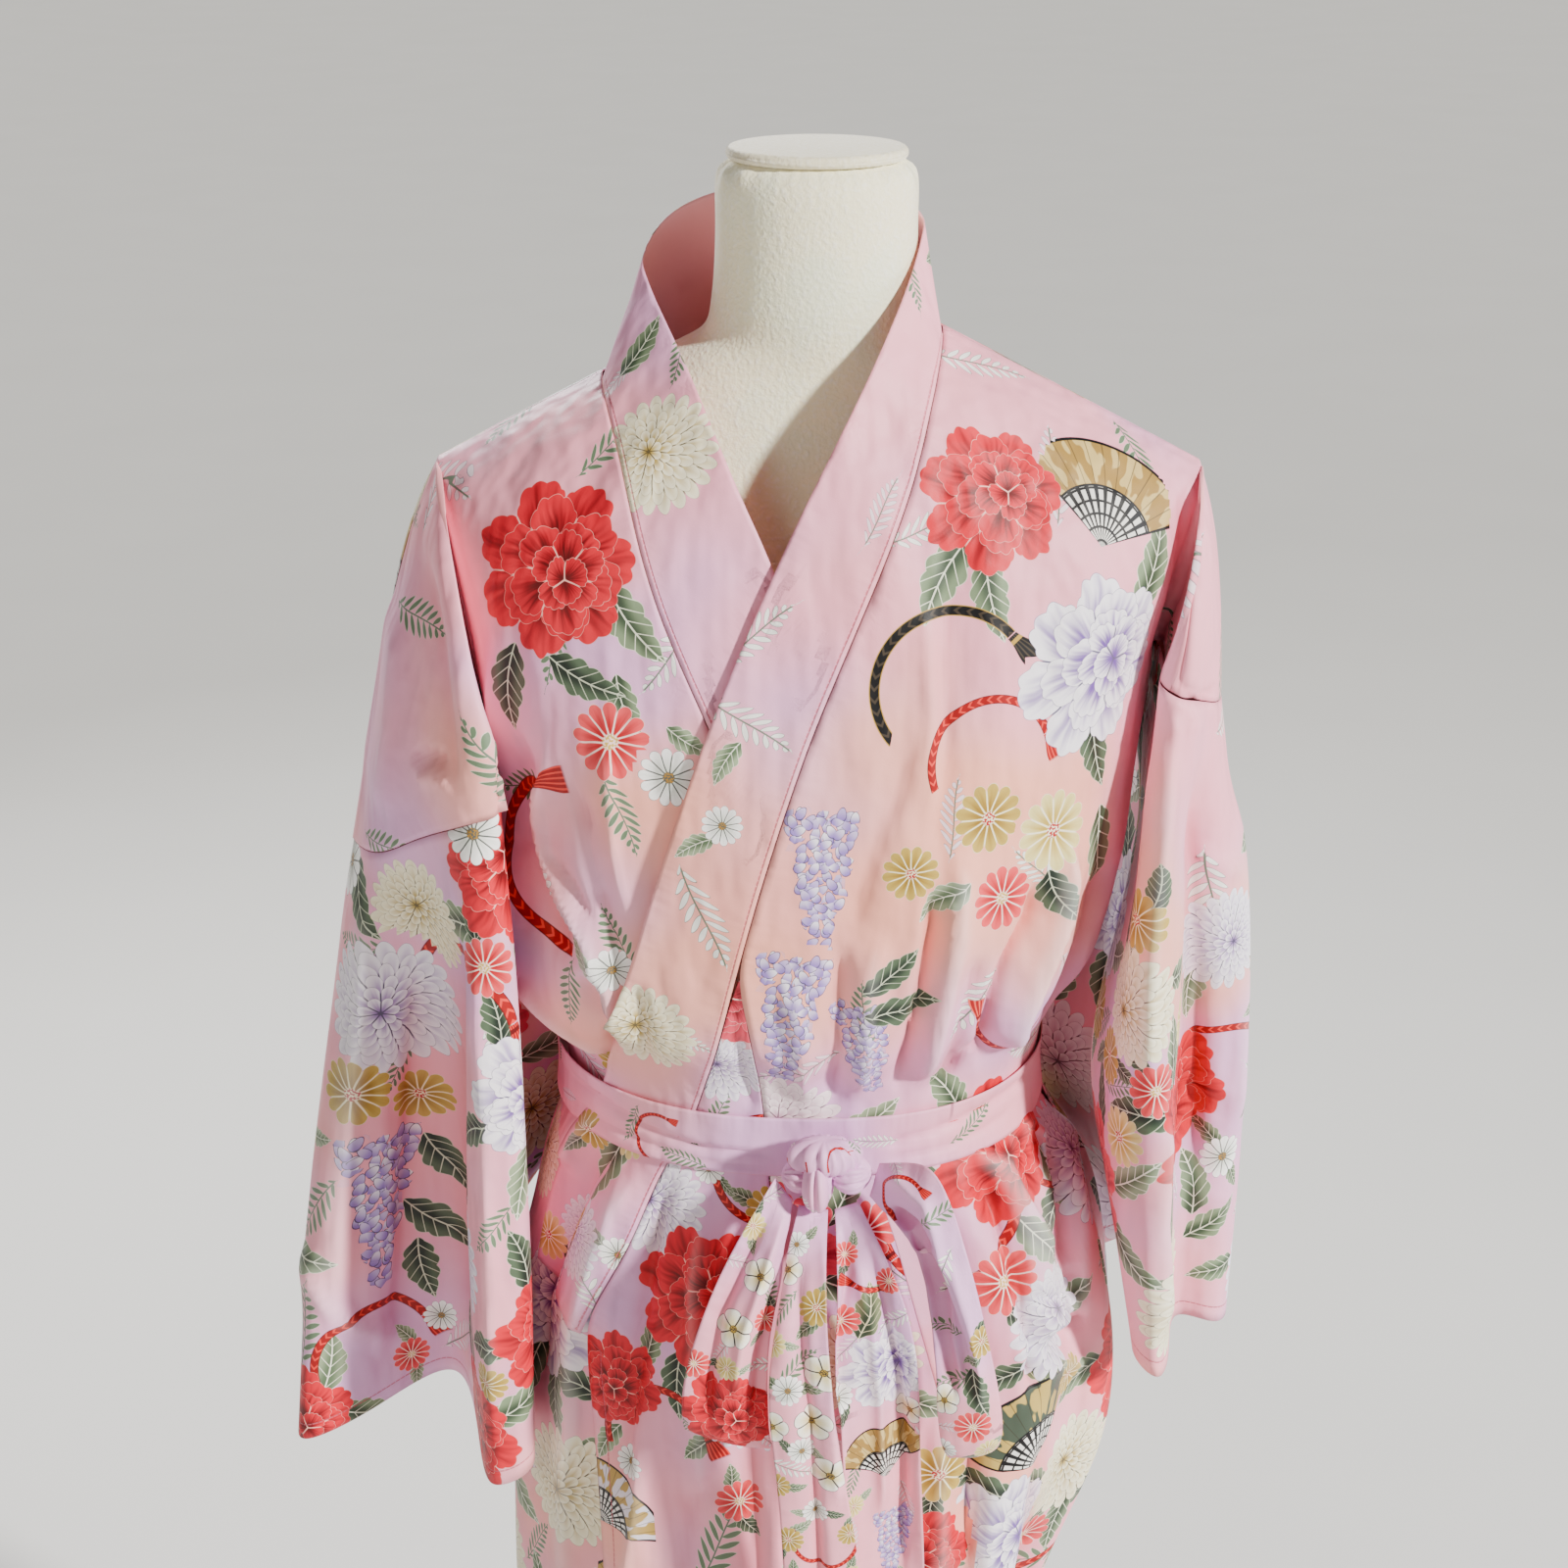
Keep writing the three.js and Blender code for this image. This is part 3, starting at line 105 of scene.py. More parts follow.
class Graph:
    def __init__(self, tree):
        self.tree = tree

    def node(self, kind, **settings):
        made = self.tree.nodes.new(kind)
        for key, value in settings.items():
            setattr(made, key, value)
        return made

    def feed(self, socket, value):
        if isinstance(value, bpy.types.NodeSocket):
            self.tree.links.new(value, socket)
        else:
            socket.default_value = value

    def value(self, operation, *inputs):
        made = self.node("ShaderNodeMath", operation=operation)
        for socket, value in zip(made.inputs, inputs):
            self.feed(socket, value)
        return made.outputs[0]

    def times(self, first, second):
        return self.value("MULTIPLY", first, second)

    def plus(self, first, second):
        return self.value("ADD", first, second)

    def minus(self, first, second):
        return self.value("SUBTRACT", first, second)

    def absolute(self, value):
        return self.value("ABSOLUTE", value)

    def below(self, value, low, high):  # 1 below low, 0 above high
        return self.spread(value, low, high, 1.0, 0.0)

    def vector(self, operation, *inputs):
        made = self.node("ShaderNodeVectorMath", operation=operation)
        for socket, value in zip(made.inputs, inputs):
            self.feed(socket, value)
        return made.outputs["Value" if operation == "LENGTH" else "Vector"]

    def scaled(self, vector, factor):
        made = self.node("ShaderNodeVectorMath", operation="SCALE")
        self.feed(made.inputs[0], vector)
        self.feed(made.inputs["Scale"], factor)
        return made.outputs["Vector"]

    def parts(self, vector):
        made = self.node("ShaderNodeSeparateXYZ")
        self.feed(made.inputs[0], vector)
        return made.outputs[0], made.outputs[1], made.outputs[2]

    def join(self, x, y, z=0.0):
        made = self.node("ShaderNodeCombineXYZ")
        for socket, value in zip(made.inputs, (x, y, z)):
            self.feed(socket, value)
        return made.outputs[0]

    def blend(self, factor, first, second, mode="MIX"):
        made = self.node("ShaderNodeMix", data_type="RGBA", blend_type=mode)
        self.feed(made.inputs[0], factor)
        self.feed(made.inputs[6], first)
        self.feed(made.inputs[7], second)
        return made.outputs[2]

    def spread(self, value, low, high, start=0.0, end=1.0):  # eased from start to end between low and high
        made = self.node("ShaderNodeMapRange", interpolation_type="SMOOTHSTEP")
        for socket, item in zip(made.inputs, (value, low, high, start, end)):
            self.feed(socket, item)
        return made.outputs[0]

    def pick(self, variant, codes):  # a colour for each whole value of variant
        made = self.node("ShaderNodeValToRGB")
        stops = made.color_ramp.elements
        made.color_ramp.interpolation = "CONSTANT"
        for index, code in enumerate(codes):
            stop = stops[0] if index == 0 else stops.new((index - 0.5) / mostVariants)
            stop.color = linear(code)
        stops.remove(stops[-1])
        self.feed(made.inputs[0], self.value("DIVIDE", variant, mostVariants))
        return made.outputs[0]

    def noise(self, place, scale, detail=2.0, colour=False):
        made = self.node("ShaderNodeTexNoise")
        self.feed(made.inputs["Vector"], place)
        made.inputs["Scale"].default_value = scale
        made.inputs["Detail"].default_value = detail
        return made.outputs["Color" if colour else "Fac"]


def motifGroup(name, draw):
    tree = bpy.data.node_groups.new(name, "ShaderNodeTree")
    tree.interface.new_socket("At", in_out="INPUT", socket_type="NodeSocketVector")
    tree.interface.new_socket("Color", in_out="OUTPUT", socket_type="NodeSocketColor")
    tree.interface.new_socket("Mask", in_out="OUTPUT", socket_type="NodeSocketFloat")
    g = Graph(tree)
    start, end = g.node("NodeGroupInput"), g.node("NodeGroupOutput")
    colour, mask = draw(g, start.outputs[0])
    g.feed(end.inputs[0], colour)
    g.feed(end.inputs[1], mask)
    return tree


# rings of petals from the outside in, each with x, y, size, petals, turn, depth of its notches and of its
# serration; lengths are shares of the flower's radius
flowers = {
    "peony": {
        "warp": 0.17, "line": 0.013, "streak": 0.45, "round": 0.5,
        "deep": ["7a0018", "98082a", "8a68b4", "a01432"],
        "light": ["e4304a", "ee6a7e", "f7f4fb", "f28a92"],
        "outline": ["ffc9bf", "ffe0d8", "7c7590", "ffe9e0"],
        "rings": [
            (0.0, 0.02, 0.98, 7, 0.4, 0.32, 0.05),
            (0.03, -0.06, 0.78, 6, 1.2, 0.34, 0.05),
            (-0.04, -0.13, 0.62, 5, 0.1, 0.36, 0.05),
            (0.04, -0.19, 0.45, 5, 1.9, 0.4, 0.06),
            (-0.02, -0.22, 0.27, 3, 0.8, 0.4, 0.06),
        ],
    },
    "mum": {
        "warp": 0.07, "line": 0.012, "streak": 0.2, "round": 0.6,
        "deep": ["c2ab62", "a78cc0", "d8b9c9", "b7a15c"],
        "light": ["f8f3dd", "f2eff8", "fbeef2", "efe6c2"],
        "outline": ["7b6f52", "6d6480", "8c6f80", "6f6445"],
        "rings": [
            (0.0, 0.0, 0.98, 22, 0.0, 0.22, 0),
            (0.0, 0.04, 0.84, 20, 0.9, 0.24, 0),
            (0.0, 0.08, 0.69, 18, 0.3, 0.26, 0),
            (0.0, 0.12, 0.54, 15, 1.3, 0.28, 0),
            (0.0, 0.15, 0.39, 11, 0.5, 0.32, 0),
            (0.0, 0.17, 0.24, 7, 0.2, 0.4, 0),
        ],
    },
    "daisy": {
        "warp": 0.05, "line": 0.028, "streak": 0.25, "round": 0.45,
        "deep": ["bf1f30", "a98b3c", "dfe3dc", "c9b15a"],
        "light": ["ef6a70", "cdb668", "ffffff", "eadfa6"],
        "outline": ["fde4de", "f6efd2", "6f7470", "faf4dd"],
        "heart": ["d8bd6a", "c22a35", "b99548", "c01f33"],
        "rings": [
            (0.0, 0.0, 0.97, 13, 0.2, 0.3, 0),
        ],
    },
    "plum": {
        "warp": 0.05, "line": 0.045, "streak": 0.15, "round": 0.32,
        "deep": ["e9dfae", "f2c7c9"],
        "light": ["fffef6", "fff3f1"],
        "outline": ["4f4a4a", "7a3a44"],
        "heart": ["b9a04e", "c43a4a"],
        "rings": [
            (0.0, 0.0, 0.95, 5, 0.2, 0.3, 0),
        ],
    },
}


def drawPetals(g, bent, row, index, ring):  # one ring of petals: how far inside it, and its shades
    ringX, ringY, size, petals, turn, notch, serrate = ring
    x, y, _ = g.parts(g.vector("SUBTRACT", bent, (ringX, ringY, 0)))
    radius = g.vector("LENGTH", g.join(x, y))
    angle = g.value("ARCTAN2", y, x)
    wave = g.absolute(g.value("COSINE", g.value("MULTIPLY_ADD", angle, petals / 2, turn)))
    reach = size * notch
    edge = g.value("MULTIPLY_ADD", g.value("POWER", wave, row["round"]), reach, size - reach)
    if serrate:
        teeth = g.absolute(g.value("SINE", g.times(angle, petals * 2.0 + index)))
        edge = g.value("MULTIPLY_ADD", teeth, serrate * size, edge)
    inside = g.minus(edge, radius)
    gap = g.times(g.times(wave, radius), 2 / petals)
    border = g.value("MINIMUM", inside, gap)
    along = g.value("DIVIDE", radius, edge)
    grain = g.noise(g.join(g.times(angle, 9.0), g.times(radius, 1.5), float(index)), 1.0, 1.0)
    shade = g.value("MULTIPLY_ADD", g.minus(grain, 0.5), row["streak"] * 2, along)
    shade = g.value("MULTIPLY_ADD", g.minus(1.0, wave), 0.22, shade)
    return inside, border, shade


def drawFlower(row):
    def draw(g, place):
        variant = g.parts(place)[2]
        wander = g.noise(g.vector("ADD", place, g.scaled(g.join(3.1, 5.7, 1.3), variant)), 2.1, 1.0, True)
        bent = g.vector("ADD", place, g.scaled(g.vector("SUBTRACT", wander, (0.5, 0.5, 0.5)), row["warp"]))
        bent = g.vector("MULTIPLY", bent, (1, 1, 0))
        deep, light, outline = (g.pick(variant, row[key]) for key in ("deep", "light", "outline"))
        colour, mask = deep, 0.0
        for index, ring in enumerate(row["rings"]):
            inside, border, shade = drawPetals(g, bent, row, index, ring)
            inner = 0.38 if index + 1 < len(row["rings"]) else 0.15
            fill = g.blend(g.spread(shade, inner, 1.05), deep, light)
            fill = g.blend(g.spread(border, row["line"] * 0.5, row["line"]), outline, fill)
            here = g.spread(inside, 0.0, 0.01)
            colour = g.blend(here, colour, fill)
            mask = g.value("MAXIMUM", mask, here)
        if "heart" in row:
            dots = g.spread(g.noise(bent, 16.0, 0.0), 0.42, 0.56)
            heart = g.blend(dots, g.pick(variant, row["heart"]), outline)
            colour = g.blend(g.below(g.vector("LENGTH", bent), 0.17, 0.2), colour, heart)
        return colour, mask
    return draw


# the other motifs' sizes are shares of half their length, pairs of them are where an edge starts and ends;
# their colours go by variant
leafShape = {
    "bow": -0.12, "rise": 0.06, "round": 0.85, "halfWidth": 0.43, "taper": -0.16, "lobes": 7.5,
    "lobeDepth": 0.2, "lobeBase": 0.84, "veins": 3.2, "slant": 1.1, "vein": (0.03, 0.06),
    "midrib": (0.012, 0.024), "rim": (0.012, 0.028), "shade": (0.0, 0.3), "shadeLean": 0.12,
    "deep": ["51624e", "36443a", "6f8268", "4c5a48"], "light": ["93a488", "6d7f69", "a9b79c", "8f9a78"],
    "line": ["e6ead8", "d3dac6", "eef0e2", "e2dfbe"],
}
sprigShape = {
    "wave": 1.6, "sway": 0.13, "reach": 0.34, "stagger": 0.25, "slant": 0.9, "pairs": 4.5, "blunt": 0.6,
    "petal": 0.36, "petalLength": 0.22, "stem": (0.01, 0.02), "ends": (0.9, 0.97), "rim": (0.01, 0.022),
    "fill": ["f4f6f2", "7e937a", "f3e3ea", "8b9c84"], "line": ["77857a", "dfe8d8", "9a7d8c", "dfe8d8"],
    "stemColour": "7f9180",
}
wisteriaShape = {
    "layers": [(0, 0), (0.37, 0.53)], "cells": 7.0, "scatter": 0.7, "spin": 2.4, "petal": (0.088, 0.056),
    "narrow": -3.4, "taper": 0.7, "halfWidth": 0.42, "ends": (0.88, 0.9), "shade": (-0.06, 0.07),
    "rim": (0.1, 0.2), "ground": "c6b6dd", "white": "fbf9ff", "pale": ["cdbbe6", "f3d9e6"],
    "deep": ["a78fd0", "c7a4cf"], "line": "5f5a78",
}
cordShape = {
    "low": 0.1, "arc": 0.8, "band": (0.052, 0.06), "rimFrom": (0.042,
                                                               0.05), "plaits": 40.0, "plaitSlant": 60.0,
    "plaitEdge": (0.3, 0.85), "tasselLean": 0.12, "tasselTop": 0.062, "tasselFlare": 0.075,
    "tasselLength": (0.36, 0.4), "flareOver": 0.34, "threads": 16.0, "bindAt": 0.07, "bind": (0.018, 0.028),
    "tasselUpTo": (2.4, 2.6), "deep": ["b0121c", "17151a", "b3262b", "b0121c"],
    "light": ["ee5a50", "5a5044", "f2806e", "ee5a50"], "rim": ["7d0c16", "c9ab57", "8d1a20", "7d0c16"],
}
fanShape = {
    "pivot": 0.55, "radius": 1.5, "open": (1.0, 1.012), "tip": (0.97, 0.98), "pleats": 5.5, "rib": (0.2,
                                                                                                    0.26),
    "crosses": 9.0, "cross": (0.08, 0.12), "cloudScale": 3.4, "cloud": (0.5, 0.53), "crease": (0.02, 0.05),
    "leafFrom": (0.52, 0.53), "sideRim": (0.965, 0.975), "tipRim": (0.94, 0.95), "joinAt": 0.525,
    "join": (0.008, 0.014), "lacquer": "15141a", "gap": "efeeea", "creaseColour": "4b4030", "rim": "14131a",
    "deep": ["b3975a", "5d6a5c", "c5ab68", "8c88a6"], "light": ["d9c48c", "cdb873", "e8e2ea", "efe3b8"],
}


def drawLeaf(g, place):
    row = leafShape
    x, y, variant = g.parts(place)
    across = g.absolute(g.value("MULTIPLY_ADD", g.times(x, x), row["bow"], g.plus(y, row["rise"])))
    body = g.value("POWER", g.value("MAXIMUM", g.minus(1.0, g.times(x, x)), 0.0), row["round"])
    width = g.times(body, g.value("MULTIPLY_ADD", x, row["taper"], row["halfWidth"]))
    lobes = g.absolute(g.value("SINE", g.times(x, row["lobes"])))
    width = g.times(width, g.value("MULTIPLY_ADD", lobes, row["lobeDepth"], row["lobeBase"]))
    inside = g.minus(width, across)
    slant = g.value("FRACT", g.times(g.minus(x, g.times(across, row["slant"])), row["veins"]))
    vein = g.absolute(g.minus(slant, 0.5))
    vein = g.value("MAXIMUM", g.below(vein, *row["vein"]), g.below(across, *row["midrib"]))
    deep, light, line = (g.pick(variant, row[key]) for key in ("deep", "light", "line"))
    fill = g.blend(g.spread(g.plus(across, g.times(x, row["shadeLean"])), *row["shade"]), deep, light)
    fill = g.blend(vein, fill, line)
    fill = g.blend(g.below(inside, *row["rim"]), fill, line)
    return fill, g.spread(inside, 0.0, 0.01)


def drawSprig(g, place):  # a curved stem with paired small petals
    row = sprigShape
    x, y, variant = g.parts(place)
    bend = g.minus(y, g.times(g.value("SINE", g.times(x, row["wave"])), row["sway"]))
    across = g.absolute(bend)
    reach = g.times(g.minus(1.0, g.times(x, x)), row["reach"])
    side = g.times(g.value("SIGN", bend), row["stagger"])
    along = g.times(g.minus(x, g.times(across, row["slant"])), row["pairs"])
    off = g.absolute(g.minus(g.value("FRACT", g.plus(along, side)), 0.5))
    out = g.value("DIVIDE", across, g.value("MAXIMUM", reach, 0.01))
    belly = g.value("SINE", g.times(g.value("MINIMUM", out, 1.0), math.pi))
    petal = g.times(g.value("POWER", g.value("MAXIMUM", belly, 0.0), row["blunt"]), row["petal"])
    inside = g.times(g.minus(petal, off), row["petalLength"])
    leafy = g.spread(inside, 0.0, 0.012)
    stem = g.times(g.below(across, *row["stem"]), g.below(g.absolute(x), *row["ends"]))
    fill, line = g.pick(variant, row["fill"]), g.pick(variant, row["line"])
    colour = g.blend(g.spread(inside, *row["rim"]), line, fill)
    colour = g.blend(stem, colour, linear(row["stemColour"]))
    return colour, g.value("MAXIMUM", leafy, stem)


def drawWisteria(g, place):  # a hanging bunch of small petals, thinner towards its tip
    row = wisteriaShape
    variant = g.parts(place)[2]
    flat = g.vector("MULTIPLY", place, (1, 1, 0))
    colour, mask = linear(row["ground"]), 0.0
    for shift in row["layers"]:
        cells = g.node("ShaderNodeTexVoronoi", feature="F1")
        g.feed(cells.inputs["Vector"], g.vector("ADD", flat, (*shift, 0)))
        cells.inputs["Scale"].default_value = row["cells"]
        cells.inputs["Randomness"].default_value = row["scatter"]
        tone, spin, _ = g.parts(cells.outputs["Color"])
        centre = g.vector("SUBTRACT", cells.outputs["Position"], (*shift, 0))
        cx, cy, _ = g.parts(centre)
        dx, dy, _ = g.parts(g.vector("SUBTRACT", flat, centre))
        turn = g.value("MULTIPLY_ADD", spin, row["spin"], -row["spin"] / 2)
        sine, cosine = g.value("SINE", turn), g.value("COSINE", turn)
        out = g.plus(g.times(dx, cosine), g.times(dy, sine))
        side = g.times(g.minus(g.times(dy, cosine), g.times(dx, sine)),
                       g.value("MULTIPLY_ADD", out, row["narrow"], 1.0))
        long, short = row["petal"]
        inside = g.minus(1.0,
                         g.vector("LENGTH",
                                  g.join(g.value("DIVIDE", out, long), g.value("DIVIDE", side, short))))
        taper = g.value("POWER", g.value("MAXIMUM", g.value("MULTIPLY_ADD", cx, -0.5, 0.5), 0.0),
                        row["taper"])
        room = g.minus(g.times(taper, row["halfWidth"]), g.absolute(cy))
        kept = g.times(g.spread(room, -0.01, 0.0), g.below(g.absolute(cx), *row["ends"]))
        here = g.times(g.spread(inside, 0.0, 0.06), kept)
        pale = g.blend(tone, linear(row["white"]), g.pick(variant, row["pale"]))
        fill = g.blend(g.spread(out, *row["shade"]), pale, g.pick(variant, row["deep"]))
        fill = g.blend(g.spread(inside, *row["rim"]), linear(row["line"]), fill)
        colour = g.blend(here, colour, fill)
        mask = g.value("MAXIMUM", mask, here)
    return colour, mask


def drawCord(g, place):  # a braided cord along an arc, with a tassel at one end
    row = cordShape
    x, y, variant = g.parts(place)
    deep, light, rim = (g.pick(variant, row[key]) for key in ("deep", "light", "rim"))
    low = g.plus(y, row["low"])
    wide = g.absolute(g.minus(g.vector("LENGTH", g.join(x, low)), row["arc"]))
    band = g.times(g.below(wide, *row["band"]), g.spread(low, 0.0, 0.01))
    slant = g.plus(g.times(g.value("ARCTAN2", low, x), row["plaits"]), g.times(wide, row["plaitSlant"]))
    colour = g.blend(g.spread(g.value("SINE", slant), *row["plaitEdge"]), deep, light)
    colour = g.blend(g.spread(wide, *row["rimFrom"]), colour, rim)
    fall = g.times(low, -1.0)
    side = g.minus(x, g.value("MULTIPLY_ADD", fall, row["tasselLean"], row["arc"]))
    flare = g.spread(fall, 0.0, row["flareOver"])
    half = g.value("MULTIPLY_ADD", flare, row["tasselFlare"], row["tasselTop"])
    inside = g.minus(half, g.absolute(side))
    fringe = g.times(g.spread(fall, 0.0, 0.01), g.below(fall, *row["tasselLength"]))
    fringe = g.times(g.spread(inside, 0.0, 0.01), fringe)
    fringe = g.times(fringe, g.below(variant, *row["tasselUpTo"]))
    thread = g.value("SINE", g.times(g.value("DIVIDE", side, half), row["threads"]))
    strand = g.blend(g.spread(thread, 0.0, 0.7), deep, light)
    strand = g.blend(g.below(g.absolute(g.minus(fall, row["bindAt"])), *row["bind"]), strand, rim)
    return g.blend(fringe, colour, strand), g.value("MAXIMUM", band, fringe)


def drawFan(g, place):  # a folding fan: lacquered ribs under a gilt leaf
    row = fanShape
    x, y, variant = g.parts(place)
    low = g.plus(y, row["pivot"])
    radius = g.value("DIVIDE", g.vector("LENGTH", g.join(x, low)), row["radius"])
    angle = g.value("ARCTAN2", x, low)
    turned = g.absolute(angle)
    mask = g.times(g.below(turned, *row["open"]), g.below(radius, *row["tip"]))
    pleat = g.absolute(g.minus(g.value("FRACT", g.times(angle, row["pleats"])), 0.5))
    rib = g.blend(g.spread(pleat, *row["rib"]), linear(row["lacquer"]), linear(row["gap"]))
    cross = g.absolute(g.minus(g.value("FRACT", g.times(radius, row["crosses"])), 0.5))
    rib = g.blend(g.spread(cross, *row["cross"]), linear(row["lacquer"]), rib)
    cloud = g.noise(g.join(g.times(angle, 1.6), radius, variant), row["cloudScale"], 1.0)
    leaf = g.blend(g.spread(cloud, *row["cloud"]), g.pick(variant, row["deep"]),
                   g.pick(variant, row["light"]))
    leaf = g.blend(g.spread(pleat, *row["crease"], 0.55, 0.0), leaf, linear(row["creaseColour"]))
    colour = g.blend(g.spread(radius, *row["leafFrom"]), rib, leaf)
    rim = g.value("MAXIMUM", g.spread(turned, *row["sideRim"]), g.spread(radius, *row["tipRim"]))
    rim = g.value("MAXIMUM", rim, g.below(g.absolute(g.minus(radius, row["joinAt"])), *row["join"]))
    return g.blend(rim, colour, linear(row["rim"])), mask


# kinds of motif in the order they are laid on the cloth, with the half sides of each one's frame
motifKinds = {
    "sprig": {"draw": drawSprig, "reach": (1.0, 0.5)},
    "wisteria": {"draw": drawWisteria, "reach": (1.0, 0.52)},
    "leaf_low": {"draw": drawLeaf, "reach": (1.0, 0.54)},
    "leaf_mid": {"draw": drawLeaf, "reach": (1.0, 0.54)},
    "leaf": {"draw": drawLeaf, "reach": (1.0, 0.54)},
    "cord": {"draw": drawCord, "reach": (1.02, 0.8)},
    "fan": {"draw": drawFan, "reach": (1.0, 1.0)},
    "mum": {"draw": drawFlower(flowers["mum"]), "reach": (1.05, 1.05)},
    "peony": {"draw": drawFlower(flowers["peony"]), "reach": (1.1, 1.1)},
    "daisy": {"draw": drawFlower(flowers["daisy"]), "reach": (1.0, 1.0)},
    "plum": {"draw": drawFlower(flowers["plum"]), "reach": (1.0, 1.0)},
}


def newMaterial(name, looks):
    material = bpy.data.materials.new(name)
    material.use_nodes = True
    g, shader = Graph(material.node_tree), material.node_tree.nodes["Principled BSDF"]
    for socket, value in looks.items():
        shader.inputs[socket].default_value = value
    return material, g, shader, g.node("ShaderNodeTexCoord").outputs["Object"]


def bumpFrom(g, height, distance, strength=1.0, below=None):
    made = g.node("ShaderNodeBump")
    g.feed(made.inputs["Height"], height)
    made.inputs["Distance"].default_value = distance
    made.inputs["Strength"].default_value = strength
    if below:
        g.feed(made.inputs["Normal"], below)
    return made.outputs["Normal"]


satin = {
    "pink": "f9a6b8", "lilac": "dfacdc", "peach": "ffae8c", "peachShare": 0.8,
    # valley and the two shares after it set the painted shade in crease troughs and the painted highlight on
    # crease ridges
    "inkDepth": 1.35, "valley": (0.86, 0.58, 0.58), "valleyShadeShare": 0.75, "ridgeHighlightShare": 0.2,
    "looks": {"Sheen Weight": 0.06, "Sheen Roughness": 0.4, "Specular IOR Level": 0.32},
    "rough": 0.46, "roughRange": 0.1,
    "weave": 950.0, "weaveDepth": 0.00012, "drapeDepth": 0.008, "softDepth": 0.0045, "puckerDepth": 0.0012,
    "hemShade": "d2808f", "hemShadeWidth": 0.8 * mm, "thread": "d0576c", "threadShare": 0.7, "stitch": 3.2 * mm,
}
reverseSide = {
    "looks": {"Roughness": 0.62, "Sheen Weight": 0.1}, "tint": "ef9f8c", "tintShare": 0.35,
    "shown": "d9808a", "shownShare": 0.35, "weaveDepth": 0.00015, "softDepth": 0.0022,
}
pile = {"Roughness": 0.93, "Sheen Weight": 0.55, "Specular IOR Level": 0.2}


def satinGround(g, place):
    lilac = g.spread(g.noise(place, 5.2, 2.0), 0.45, 0.68)
    peach = g.spread(g.noise(g.vector("ADD", place, (7.3, 2.1, 4.9)), 4.4, 2.0), 0.54, 0.7)
    colour = g.blend(lilac, linear(satin["pink"]), linear(satin["lilac"]))
    return g.blend(g.times(peach, satin["peachShare"]), colour, linear(satin["peach"]))


def weaveOf(g, place):
    return g.noise(g.vector("MULTIPLY", place, (1, 1, 2.2)), satin["weave"], 1.0)


def motifsOn(g, colour, kinds):  # lays each kind of motif over the ground, the ink made deeper than its hex
    for kind in kinds:
        group = g.node("ShaderNodeGroup")
        group.node_tree = motifGroups[kind]
        at = g.node("ShaderNodeAttribute", attribute_name="print_" + kind)
        g.feed(group.inputs[0], at.outputs["Vector"])
        ink = g.node("ShaderNodeGamma")
        g.feed(ink.inputs["Color"], group.outputs[0])
        ink.inputs["Gamma"].default_value = satin["inkDepth"]
        colour = g.blend(group.outputs[1], colour, ink.outputs[0])
    return colour


def paintFoldShade(g, colour):  # painted shade darkens and warms the crease troughs, and a painted highlight makes the ridges paler
    fold = g.node("ShaderNodeAttribute", attribute_name="fold").outputs["Fac"]
    valleyShade = g.vector("MULTIPLY", colour, satin["valley"])
    colour = g.blend(g.spread(fold, -0.9, -0.1, satin["valleyShadeShare"], 0.0), colour, valleyShade)
    return g.blend(g.spread(fold, 0.2, 0.9, 0.0, satin["ridgeHighlightShare"]), colour, linear("ffffff"))


def printedSatin(name, kinds):
    material, g, shader, place = newMaterial(name, satin["looks"])
    colour = paintFoldShade(g, motifsOn(g, satinGround(g, place), kinds))
    edge = g.node("ShaderNodeAttribute", attribute_name="edge")
    away, along, stitchAt = g.parts(edge.outputs["Vector"])
    stitched = g.value("GREATER_THAN", stitchAt, 0.001)
    seam = g.times(g.below(g.absolute(g.minus(away, stitchAt)), 0.0002, 0.0006), stitched)
    dash = g.absolute(g.minus(g.value("FRACT", g.value("DIVIDE", along, satin["stitch"])), 0.5))
    thread = g.times(g.times(seam, g.spread(dash, 0.34, 0.42, 1.0, 0.25)), satin["threadShare"])
    # painted shade: a darker pink rim along every edge of a piece, where the cloth turns at a seam or hem
    colour = g.blend(g.spread(away, 0.0, satin["hemShadeWidth"], 0.25, 0.0), colour, linear(satin["hemShade"]))
    g.feed(shader.inputs["Base Color"], g.blend(thread, colour, linear(satin["thread"])))
    weave = weaveOf(g, place)
    g.feed(shader.inputs["Roughness"], g.value("MULTIPLY_ADD", weave, satin["roughRange"], satin["rough"]))
    drape = bumpFrom(g, g.noise(g.vector("MULTIPLY", place, (1, 1, 0.3)), 34.0, 2.0), satin["drapeDepth"])
    soft = bumpFrom(g, g.noise(place, 19.0, 3.0), satin["softDepth"], 1.0, drape)
    ripple = g.noise(g.join(g.times(along, 150.0), 0.0, 0.0), 1.0, 1.0)
    pucker = g.times(ripple, g.below(away, 0.001, 0.016))
    pucker = g.plus(pucker, g.times(seam, -0.5))
    sewn = bumpFrom(g, pucker, satin["puckerDepth"], 0.8, soft)
    g.feed(shader.inputs["Normal"], bumpFrom(g, weave, satin["weaveDepth"], 0.5, sewn))
    return material


def reverseSatin():
    row = reverseSide
    material, g, shader, place = newMaterial("satin_reverse", row["looks"])
    colour = g.blend(row["tintShare"], satinGround(g, place), linear(row["tint"]))
    shown = g.spread(g.noise(place, 16.0, 3.0), 0.56, 0.66, 0.0, row["shownShare"])
    g.feed(shader.inputs["Base Color"], g.blend(shown, colour, linear(row["shown"])))
    soft = bumpFrom(g, g.noise(place, 21.0, 3.0), row["softDepth"])
    g.feed(shader.inputs["Normal"], bumpFrom(g, weaveOf(g, place), row["weaveDepth"], 0.5, soft))
    return material


